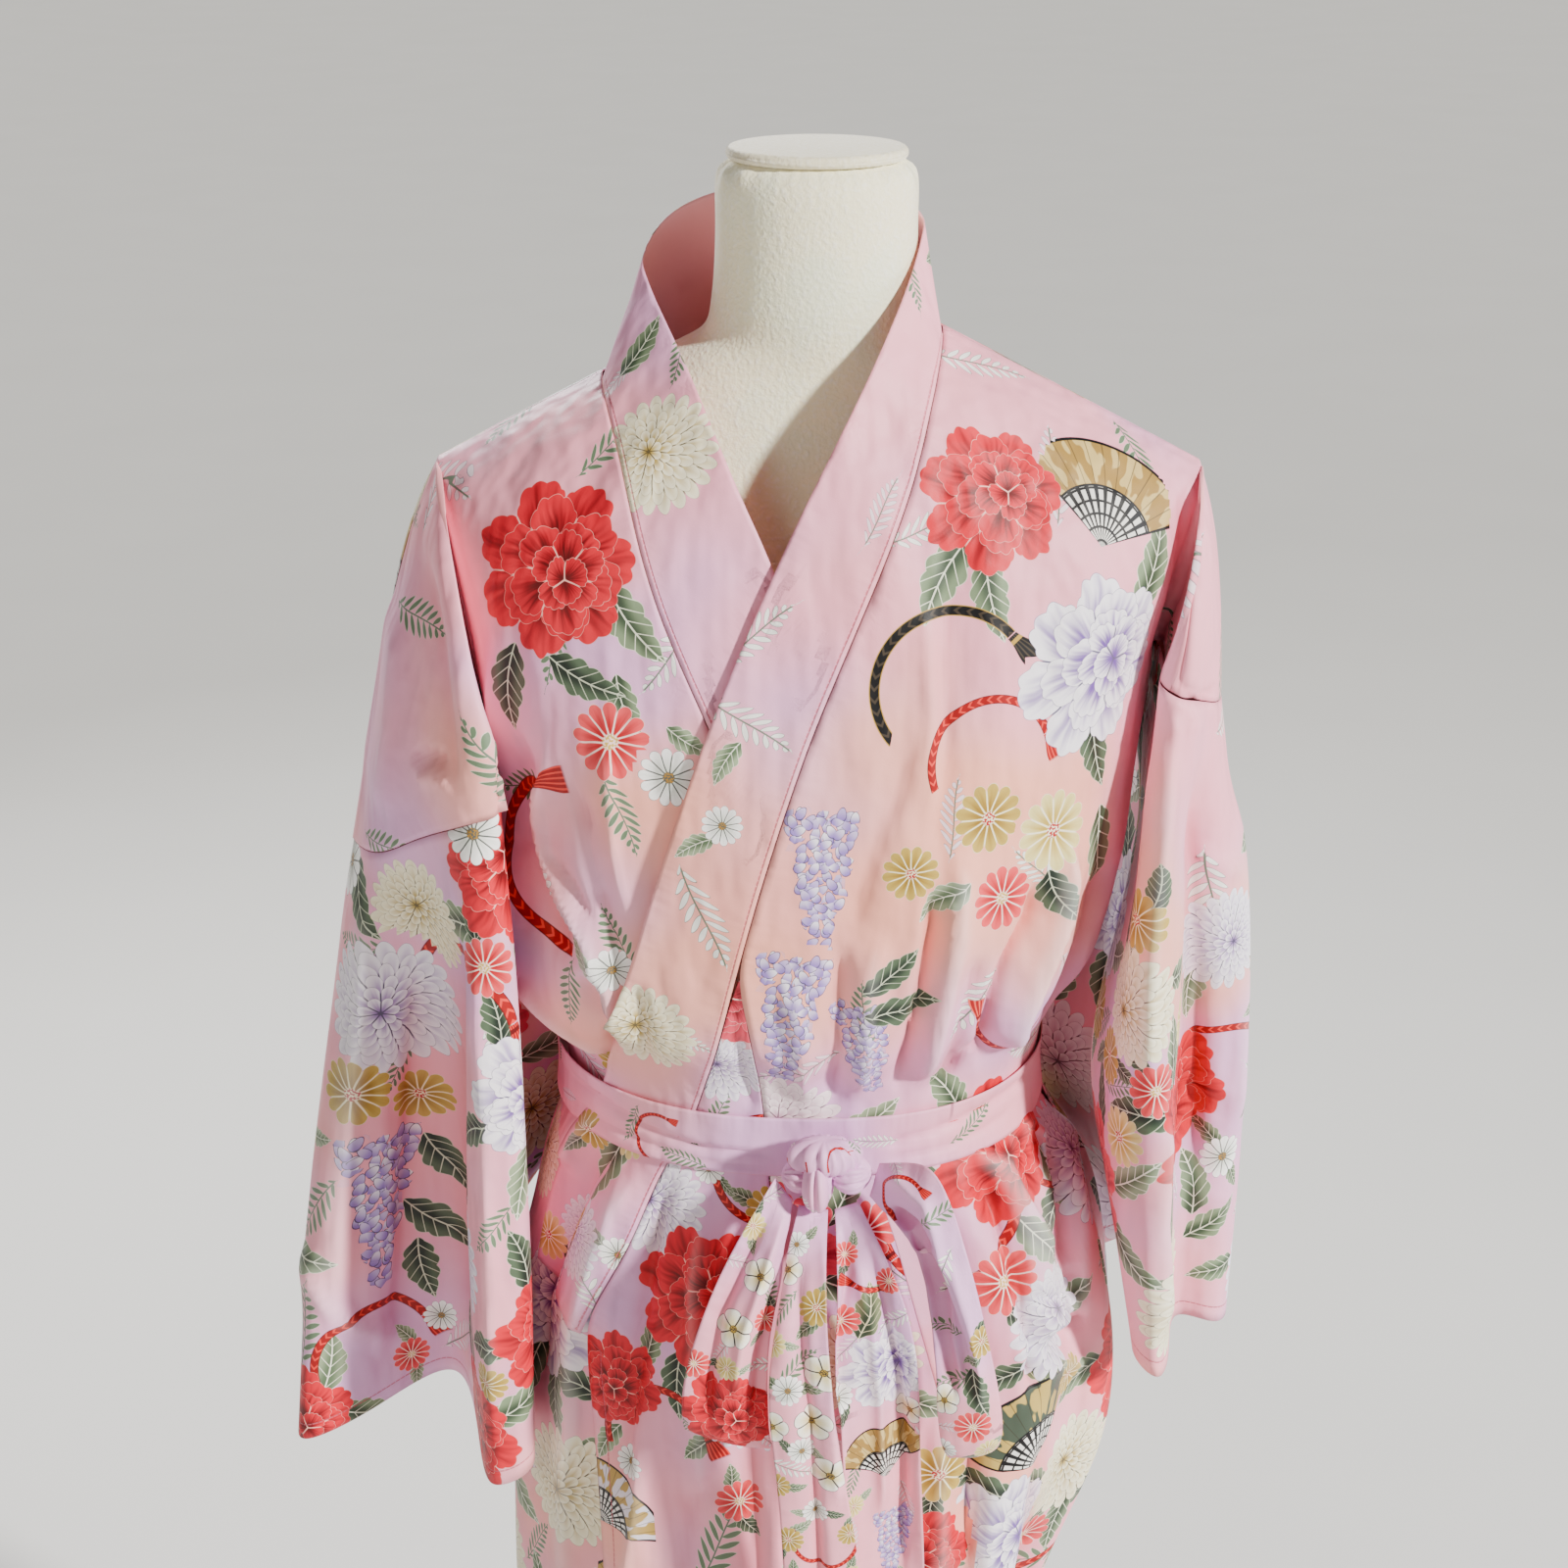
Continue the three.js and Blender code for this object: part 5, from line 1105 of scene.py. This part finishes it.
# creases in mm, each with its width, depth (+ stands out, - lies in), lean of its steep flank, and points;
# seen from the front or back the points hold x then z, seen from the side y then z
creases = [
    {"on": "front", "look": "front", "lines": [
        (9, 12, 0.4, [(-130, 1236), (-137, 1205), (-139, 1176), (-130, 1150), (-115, 1128), (-105, 1099),
            (-100, 1052)]),
        (12, -10, -0.3, [(-146, 1236), (-154, 1191), (-152, 1160), (-140, 1132), (-124, 1100)]),
        (5, 4.5, 0.4, [(-102, 1246), (-101, 1205), (-99, 1176), (-93, 1140)]),
        (4, -5, -0.3, [(-120, 1216), (-114, 1186), (-106, 1140), (-97, 1112)]),
        (3, 3, 0, [(-112, 1190), (-108, 1170), (-107, 1150)]),
        (3.5, -4.5, 0.3, [(-138, 1170), (-124, 1156), (-112, 1136)]),
        (5, 7, 0.4, [(-160, 1086), (-142, 1070), (-122, 1056), (-104, 1046)]),
        (5, -9, -0.2, [(-121, 1108), (-111, 1080), (-104, 1052)]),
        (5, -4, 0.3, [(-90, 1110), (-88, 1080), (-84, 1044)]),
        (7, 5, -0.3, [(-158, 1290), (-162, 1220), (-164, 1150), (-162, 1100), (-144, 1064)]),
        (5, -9, -0.4, [(58, 1176), (57, 1147), (54, 1115), (47, 1078), (41, 1036)]),
        (7, 9, -0.3, [(70, 1190), (69, 1140), (65, 1108), (59, 1070), (53, 1036)]),
        (5, -3.2, 0.3, [(64, 1340), (62, 1286), (63, 1230), (60, 1170)]),
        (6, 2.8, 0.3, [(52, 1310), (53, 1260), (54, 1200)]),
        (7, -3, 0.4, [(53, 1290), (50, 1251), (39, 1215), (24, 1172), (16, 1130)]),
        (6, -11, -0.2, [(112, 1170), (110, 1142), (98, 1118), (91, 1092), (88, 1068), (87, 1040)]),
        (7, 11, 0.4, [(128, 1182), (125, 1134), (114, 1106), (106, 1082), (102, 1046)]),
        (8, -8, 0.3, [(154, 1150), (148, 1104), (136, 1076), (122, 1050)]),
        (5, -6, 0.3, [(84, 1130), (78, 1090), (72, 1056), (66, 1036)]),
        (3, -3.5, 0, [(58, 1034), (70, 1050), (84, 1070)]),
        (4, -3.5, 0.3, [(-40, 1084), (-36, 1056), (-32, 1028)]),
        (5, 5.5, -0.3, [(-16, 1120), (-8, 1070), (-4, 1030)]),
        (5, -6.5, 0.3, [(14, 1140), (12, 1080), (10, 1030)]),
        (6, 6, 0.3, [(30, 1150), (27, 1080), (23, 1032)]),
        (8, -5, 0.3, [(-198, 1318), (-187, 1280), (-182, 1240), (-180, 1200)]),
        (9, 5, 0.3, [(-212, 1280), (-216, 1221), (-226, 1168)]),
        (3, -3.5, 0.3, [(-206, 1210), (-194, 1219), (-181, 1222)]),
        (3, 3.5, 0, [(-202, 1201), (-190, 1209), (-179, 1207)]),
        (7, -4.5, 0.3, [(187, 1350), (184, 1291), (178, 1240)]),
        (3, -3.5, 0.3, [(178, 1256), (192, 1243), (208, 1235)]),
        (9, 10, 0.4, [(78, 1000), (100, 977), (114, 946), (128, 908), (134, 870)]),
        (6, -11, -0.2, [(84, 990), (98, 962), (108, 930), (118, 895), (118, 850)]),
        (6, 7, 0.3, [(108, 1000), (126, 975), (131, 950), (131, 925)]),
        (5, -8, 0, [(122, 998), (136, 962), (140, 930), (141, 900)]),
        (6, 6, 0.2, [(134, 985), (146, 950), (150, 910), (152, 860)]),
        (3.6, -5.5, 0.3, [(118, 914), (136, 902), (152, 900)]),
        (4, 5.5, 0.3, [(124, 896), (139, 886), (153, 886)]),
        (4, -6.5, 0, [(128, 880), (143, 870), (156, 870)]),
        (6, 6, 0.3, [(106, 896), (122, 872), (146, 846), (160, 838)]),
        (8, -9, 0.3, [(62, 988), (74, 940), (82, 890), (86, 820), (84, 740)]),
        (9, 7, -0.3, [(46, 988), (56, 930), (66, 860), (68, 780), (66, 640)]),
        (10, 9, 0.3, [(104, 850), (100, 780), (92, 690), (86, 520), (88, 300)]),
        (9, -9, 0.2, [(130, 850), (128, 760), (122, 640), (120, 480)]),
        (9, -7, -0.2, [(40, 900), (44, 800), (40, 640), (36, 420)]),
        (5, 7, 0.3, [(-112, 1006), (-126, 985), (-138, 960)]),
        (6, -10, 0.3, [(-100, 1000), (-120, 968), (-132, 942), (-150, 888), (-154, 820)]),
        (9, 8, 0.4, [(-88, 992), (-106, 957), (-120, 918), (-130, 878), (-134, 800)]),
        (7, -8, 0.2, [(-76, 988), (-88, 940), (-96, 880), (-100, 800)]),
        (8, 6, -0.3, [(-56, 986), (-64, 930), (-62, 860), (-58, 780)]),
        (7, -7, 0.2, [(-34, 986), (-38, 920), (-34, 840), (-28, 700)]),
        (7, 6, -0.3, [(-90, 880), (-94, 815), (-103, 745), (-104, 620)]),
        (6, -5, 0, [(-50, 830), (-66, 800), (-74, 740)]),
        (9, 8, 0.3, [(-128, 860), (-136, 800), (-140, 680), (-146, 520)]),
        (11, -9, -0.3, [(-80, 740), (-76, 560), (-70, 400), (-72, 240)]),
        (12, 8, 0.2, [(-30, 660), (-34, 480), (-30, 300)]),
    ]},
    {"on": "back", "look": "back", "lines": [
        (8, 9, 0.3, [(-110, 1230), (-92, 1160), (-80, 1090), (-72, 1040)]),
        (6, -8, 0, [(-70, 1210), (-54, 1140), (-48, 1080), (-46, 1040)]),
        (9, 8, -0.3, [(-20, 1260), (-14, 1170), (-10, 1100), (-8, 1036)]),
        (6, -8, 0.2, [(34, 1200), (36, 1130), (34, 1070), (30, 1036)]),
        (8, 9, 0.3, [(86, 1240), (80, 1160), (70, 1090), (62, 1040)]),
        (7, -8, 0, [(128, 1180), (118, 1120), (106, 1070), (98, 1040)]),
        (9, 4, 0.3, [(-140, 1330), (-60, 1340), (10, 1352), (90, 1340), (150, 1322)]),
        (9, 9, 0.3, [(-120, 985), (-128, 900), (-132, 780), (-138, 600)]),
        (8, -9, 0, [(-84, 985), (-92, 880), (-96, 720), (-100, 520)]),
        (10, 10, 0.2, [(-40, 985), (-46, 860), (-50, 660), (-52, 300)]),
        (9, -9, 0, [(6, 985), (4, 850), (0, 620)]),
        (10, 10, -0.3, [(44, 985), (52, 860), (58, 640), (60, 280)]),
        (8, -8, 0, [(88, 985), (98, 880), (100, 700)]),
        (8, 8, 0.2, [(118, 985), (130, 880), (132, 760), (126, 640)]),
    ]},
    {"on": "sleeve_right", "look": "front", "lines": [
        (8, -9, 0.3, [(-183, 1146), (-190, 1060), (-198, 949), (-202, 830)]),
        (11, 8, 0.4, [(-232, 1140), (-243, 1041), (-260, 949), (-274, 840)]),
        (9, -8, -0.3, [(-212, 1100), (-223, 976), (-234, 875), (-248, 800)]),
        (8, 5, 0.3, [(-292, 900), (-266, 856), (-232, 822)]),
        (5, 5, 0, [(-174, 1120), (-171, 1020), (-173, 920), (-176, 810)]),
    ]},
    {"on": "sleeve_right", "look": "side", "lines": [
        (12, -8, 0.2, [(20, 1120), (10, 1000), (0, 880)]),
        (10, 6, 0.2, [(60, 1110), (56, 980), (48, 860)]),
    ]},
    {"on": "sleeve_left", "look": "front", "lines": [
        (6, 6, 0.3, [(178, 1232), (176, 1173), (174, 1108), (175, 1030)]),
        (7, -8, 0.3, [(195, 1212), (204, 1131), (210, 1039), (215, 920)]),
        (7, 6, 0, [(226, 1190), (232, 1080), (236, 950)]),
        (6, 7, 0.3, [(184, 1030), (185, 952), (194, 870)]),
        (3, 3.5, 0.3, [(174, 1231), (186, 1233), (198, 1224)]),
        (4, 3.5, 0.3, [(200, 1150), (216, 1136), (232, 1130)]),
        (4, -3.5, 0.3, [(200, 1006), (218, 990), (236, 986)]),
        (5, 4, 0.3, [(204, 950), (222, 930), (240, 926)]),
    ]},
    {"on": "sleeve_left", "look": "side", "lines": [
        (12, -6, 0, [(20, 1200), (14, 1080), (10, 940)]),
        (10, 6, 0.2, [(66, 1200), (62, 1080), (56, 930)]),
    ]},
    {"on": "belt", "look": "front", "lines": [
        (2.6, -3.2, 0.4, [(-142, 1016), (-112, 1017), (-86, 1010), (-56, 1005), (-18, 1006)]),
        (2.4, -2.2, 0, [(-136, 1004), (-100, 1002), (-60, 997), (-18, 998)]),
        (2.6, -3, 0.4, [(126, 1018), (94, 1017), (60, 1012), (28, 1008)]),
        (2.4, -2, 0, [(110, 1006), (70, 1002), (34, 1000)]),
    ]},
    {"on": "belt", "look": "back", "lines": [
        (3, -2.8, 0.2, [(-110, 1010), (-40, 1014), (20, 1010), (100, 1012)]),
        (3, 2, 0.2, [(-60, 1000), (10, 1002), (70, 1000)]),
    ]},
    {"on": "bow", "look": "front", "lines": [
        (4.5, -6.5, 0.3, [(-19, 994), (-35, 968), (-49, 940), (-55, 905), (-56, 870)]),
        (4, 4.5, -0.3, [(-15, 990), (-26, 962), (-38, 930), (-43, 890)]),
        (3.5, -5, 0, [(-11, 986), (-19, 956), (-28, 920), (-32, 880)]),
        (5, 5, 0.3, [(30, 1000), (44, 1011), (56, 1004), (60, 990), (66, 962)]),
        (3.6, -7.5, 0, [(34, 990), (48, 990), (55, 976)]),
        (5, -6, 0.3, [(50, 985), (60, 952), (66, 920), (72, 890)]),
        (5, 4.5, 0.3, [(66, 980), (76, 945), (84, 910), (86, 880)]),
        (5, -6.5, 0.3, [(-7, 980), (-9, 955), (-6, 925), (-1, 890), (2, 820), (6, 700)]),
        (4, 4, 0, [(2, 982), (6, 950), (8, 900), (12, 830)]),
        (4, -6, -0.3, [(14, 982), (17, 955), (15, 925), (16, 880)]),
        (5, -7, 0.3, [(24, 982), (34, 946), (43, 905), (47, 860), (48, 760)]),
        (7, -7, 0.3, [(40, 1000), (58, 968), (74, 930), (80, 890)]),
        (4.5, 5, -0.3, [(20, 970), (28, 930), (33, 880), (36, 800)]),
    ]},
]
# soft swells: what the sleeves' back layer does behind the gaps at the waist
swells = [
    {"on": "sleeve_right", "centre": (-179, 72, 985), "reach": (60, 62, 150), "push": (44, 6, 0)},
    {"on": "sleeve_left", "centre": (170, 72, 985), "reach": (60, 62, 150), "push": (-44, 6, 0)},
    {"on": "sleeve_left", "centre": (192, 84, 872), "reach": (70, 62, 92), "push": (-12, 0, -40)},
]
creaseGroups = {
    "front": ["front_left", "front_right", "overlap_left", "overlap_right", "collar"], "back": ["back"],
    "sleeve_left": ["sleeve_left"], "sleeve_right": ["sleeve_right"], "belt": ["belt_waist"],
    "bow": ["bow_loop_left", "bow_loop_right", "belt_tail_left", "belt_tail_right"],
}
# round: of the crest, as a share of the width; fall: how fast the flanks fall; fade: share of the length
# over which each end dies out; turned, edgeOn: how it dies out where the cloth turns from the view;
# halfway: how far past the middle it reaches
creaseShape = {"round": 0.32, "fall": 1.4, "fade": 0.2, "turned": 3, "edgeOn": 0.6, "halfway": 20 * mm}
views = {"front": (0, 1, -1), "back": (0, 1, 1), "side": (1, 0, 0)}
bodyGap = 2.5 * mm  # what stays free between a valley and the form
collarTop = {"at": 1.36, "over": 0.05}  # the collar has no creases above this height
foldScale = 10 * mm  # the crease depth at which the painted shade in troughs and the painted highlight on ridges are full


def creasePush(look, width, depth, lean, line, points, normals):  # how far one crease moves each point
    across, facing, sign = views[look]
    flat = points[:, [across, 2]]
    line = np.array(line, dtype=float) * mm
    lengths = np.linalg.norm(np.diff(line, axis=0), axis=1)
    total, run = lengths.sum(), 0.0
    nearest = np.full(len(flat), 1e9)
    signed, share = np.zeros(len(flat)), np.zeros(len(flat))
    for start, end, length in zip(line[:-1], line[1:], lengths):
        way = (end - start) / length
        along = np.clip((flat - start) @ way, 0, length)
        off = flat - (start + along[:, None] * way)
        distance = np.linalg.norm(off, axis=1)
        closer = distance < nearest
        nearest[closer] = distance[closer]
        signed[closer] = (np.sign(off[:, 0] * way[1] - off[:, 1] * way[0]) * distance)[closer]
        share[closer] = (run + along[closer]) / total
        run += length
    width = width * mm * (1 + lean * np.sign(signed))
    ends = np.clip(np.minimum(share, 1 - share) / creaseShape["fade"], 0, 1)
    ends = ends * ends * (3 - 2 * ends)
    crest = width * creaseShape["round"]
    away = np.sqrt(nearest ** 2 + crest ** 2) - crest
    push = depth * mm * np.exp(-away / width * creaseShape["fall"]) * ends
    if sign:
        seen = np.clip(normals[:, facing] * sign * creaseShape["turned"] + creaseShape["edgeOn"], 0, 1)
        push *= seen * (points[:, 1] * sign > -creaseShape["halfway"])
    return push


def crease(name, look, row):
    mesh = cloth[name].data
    points, normals = coords(mesh), normalsOf(mesh)
    push = creasePush(look, *row, points, normals)
    if name == "collar":
        push *= np.clip((collarTop["at"] - points[:, 2]) / collarTop["over"], 0, 1)
    low = np.flatnonzero(push < -0.5 * mm)
    room = np.array([bodyTree.find_nearest(Vector(points[i]))[3] for i in low]) - bodyGap
    push[low] = np.maximum(push[low], -np.maximum(room, 0))
    folds[name] += push
    setCoords(mesh, points + normals * push[:, None])


def swell(row):
    mesh = cloth[row["on"]].data
    points = coords(mesh)
    away = (points - np.array(row["centre"]) * mm) / (np.array(row["reach"]) * mm)
    share = np.clip(1 - (away ** 2).sum(axis=1), 0, 1)[:, None] ** 2
    setCoords(mesh, points + share * np.array(row["push"]) * mm)


body = bpy.data.objects["form_body"].data
bodyTree = BVHTree.FromPolygons([v.co for v in body.vertices], [p.vertices[:] for p in body.polygons])
folds = {name: np.zeros(len(piece.data.vertices)) for name, piece in cloth.items()}
for group in creases:
    for row in group["lines"]:
        for name in creaseGroups[group["on"]]:
            crease(name, group["look"], row)
for row in swells:
    swell(row)
for name, piece in cloth.items():
    # each point's crease push, stored for the painted shade in troughs and the painted highlight on ridges
    piece.data.attributes.new("fold", "FLOAT", "POINT").data.foreach_set("value", folds[name] / foldScale)
print("creases made", flush=True)

for name, row in clothPieces.items():
    piece = cloth[name]
    piece.data.materials.append(reverse)
    inner = len(piece.data.materials) - 1
    applied(piece, "SOLIDIFY", thickness=clothWall, offset=-1, material_offset=inner,
            use_quality_normals=False)
    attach(piece, "root")
    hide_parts(name)


# knot: lobes of gathered cloth round a short upright wrap, from its middle, in mm; way is 1 where a lobe's
# pleats run up and down, 0 where they run sideways
knot = {"x": 6, "y": -130.2, "z": 1007, "finest": 64}
knotLobes = [
    {"x": -1, "z": 9.5, "y": 0, "wide": 20, "deep": 13, "tall": 10, "pleats": 14, "depth": 0.3,
     "twist": 0.8, "way": 1},
    {"x": 12, "z": -1, "y": 1, "wide": 11.5, "deep": 13, "tall": 11, "pleats": 9, "depth": 0.3,
     "twist": -0.7, "way": 0},
    {"x": -14, "z": -3, "y": 2, "wide": 9.5, "deep": 12, "tall": 9, "pleats": 9, "depth": 0.3, "twist": 0.8,
     "way": 0},
    {"x": -5, "z": -5, "y": -2, "wide": 9, "deep": 16, "tall": 15.5, "pleats": 7, "depth": 0.24,
     "twist": 0.35, "way": 1},
]


def inOrder(faces):  # Blender makes a ball's faces in another order each run, and the print depends on it
    loops = [[v.index for v in face.verts] for face in faces]
    return sorted(loop[loop.index(min(loop)):] + loop[:loop.index(min(loop))] for loop in loops)


def makeKnot():  # one mesh, its lobes in the order of the table
    corners, faces = [], []
    for row in knotLobes:
        bm = bmesh.new()
        bmesh.ops.create_uvsphere(bm, u_segments=knot["finest"], v_segments=knot["finest"] // 2, radius=1)
        bm.verts.index_update()
        points = np.array([v.co[:] for v in bm.verts])
        faces += [[index + len(corners) for index in loop] for loop in inOrder(bm.faces)]
        bm.free()
        along, side = (points[:, 2], points[:, 0]) if row["way"] else (points[:, 0], points[:, 2])
        around = np.arctan2(side, -points[:, 1])
        around += 0.3 * np.sin(around * 2 + row["x"])
        pleat = np.abs(np.cos(around * row["pleats"] / 2 + along * row["twist"] + row["x"])) ** 0.7
        narrow = 1 + (0.1 if row["way"] else -0.22) * along ** 2
        swell = (1 - row["depth"] + row["depth"] * pleat) * narrow
        ones = np.ones_like(swell)
        shape = points * np.stack([swell, swell, ones] if row["way"] else [ones, swell, swell], axis=1)
        size = np.array([row["wide"], row["deep"], row["tall"]]) * mm
        middle = np.array([knot["x"] + row["x"], knot["y"] + row["y"], knot["z"] + row["z"]]) * mm
        corners += (shape * size + middle).tolist()
    mesh = bpy.data.meshes.new("knot_cloth")
    mesh.from_pydata(corners, [], faces)
    mesh.shade_smooth()
    printPiece("belt_knot", mesh, 0.5, ("peony", "fan", "mum", "wisteria", "daisy", "plum"))
    edge = mesh.attributes.new("edge", "FLOAT_VECTOR", "POINT")
    edge.data.foreach_set("vector", [1.0, 0.0, 0.0] * len(mesh.vertices))  # far from any edge
    piece = bpy.data.objects.new("knot_cloth", mesh)
    bpy.context.scene.collection.objects.link(piece)
    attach(piece, "root")
    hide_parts("belt_knot")


makeKnot()


# form and stand, in metres
slimmed = {"below": 1.43, "over": 0.03, "by": 1.2 * mm}  # the form keeps clear of the cloth laid on it
roundPieces = [
    {"name": "cap_shape", "node": "neck_cap", "slot": "form_cap", "material": capCloth,
     "radius": (0.0445, 0.0395), "low": 1.4985, "high": 1.5045, "bevel": 0.003, "sides": 128},
    {"name": "base_shape", "node": "stand_base", "slot": "stand_metal", "material": steel,
     "radius": (0.165, 0.165), "low": 0.0, "high": 0.012, "bevel": 0.004, "sides": 128},
    {"name": "pole_shape", "node": "stand_pole", "slot": "stand_metal", "material": steel,
     "radius": (0.014, 0.014), "low": 0.0121, "high": 0.7747, "bevel": 0.001, "sides": 64},
]


def makeForm():
    bm = bmesh.new()
    bm.from_mesh(bpy.data.objects["form_body"].data)
    bmesh.ops.remove_doubles(bm, verts=bm.verts, dist=welded)
    bmesh.ops.join_triangles(bm, faces=bm.faces, angle_face_threshold=0.9, angle_shape_threshold=1.4)
    piece = plainObject("form_shape", bm)
    mesh = piece.data
    applied(piece, "SUBSURF", levels=3)
    points, normals = coords(mesh), normalsOf(mesh)
    slim = np.clip((slimmed["below"] - points[:, 2]) / slimmed["over"], 0, 1) * slimmed["by"]
    setCoords(mesh, points - normals * slim[:, None])
    mesh.shade_smooth()
    mesh.materials.append(formCloth)
    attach(piece, "root")
    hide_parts("form_body")


def makeRound(row):
    bpy.ops.mesh.primitive_cylinder_add(vertices=row["sides"], radius=1, depth=row["high"] - row["low"])
    piece = bpy.context.object
    piece.name = row["name"]
    points = coords(piece.data)
    points[:, :2] *= row["radius"]
    points[:, 2] += (row["high"] + row["low"]) / 2
    setCoords(piece.data, points)
    corner = math.radians(40)
    applied(piece, "BEVEL", width=row["bevel"], segments=5, limit_method="ANGLE", angle_limit=corner)
    piece.data.shade_smooth()
    piece.data.materials.append(row["material"])
    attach(piece, "root")
    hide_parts(row["node"])


makeForm()
for row in roundPieces:
    makeRound(row)
print("form and stand made", flush=True)
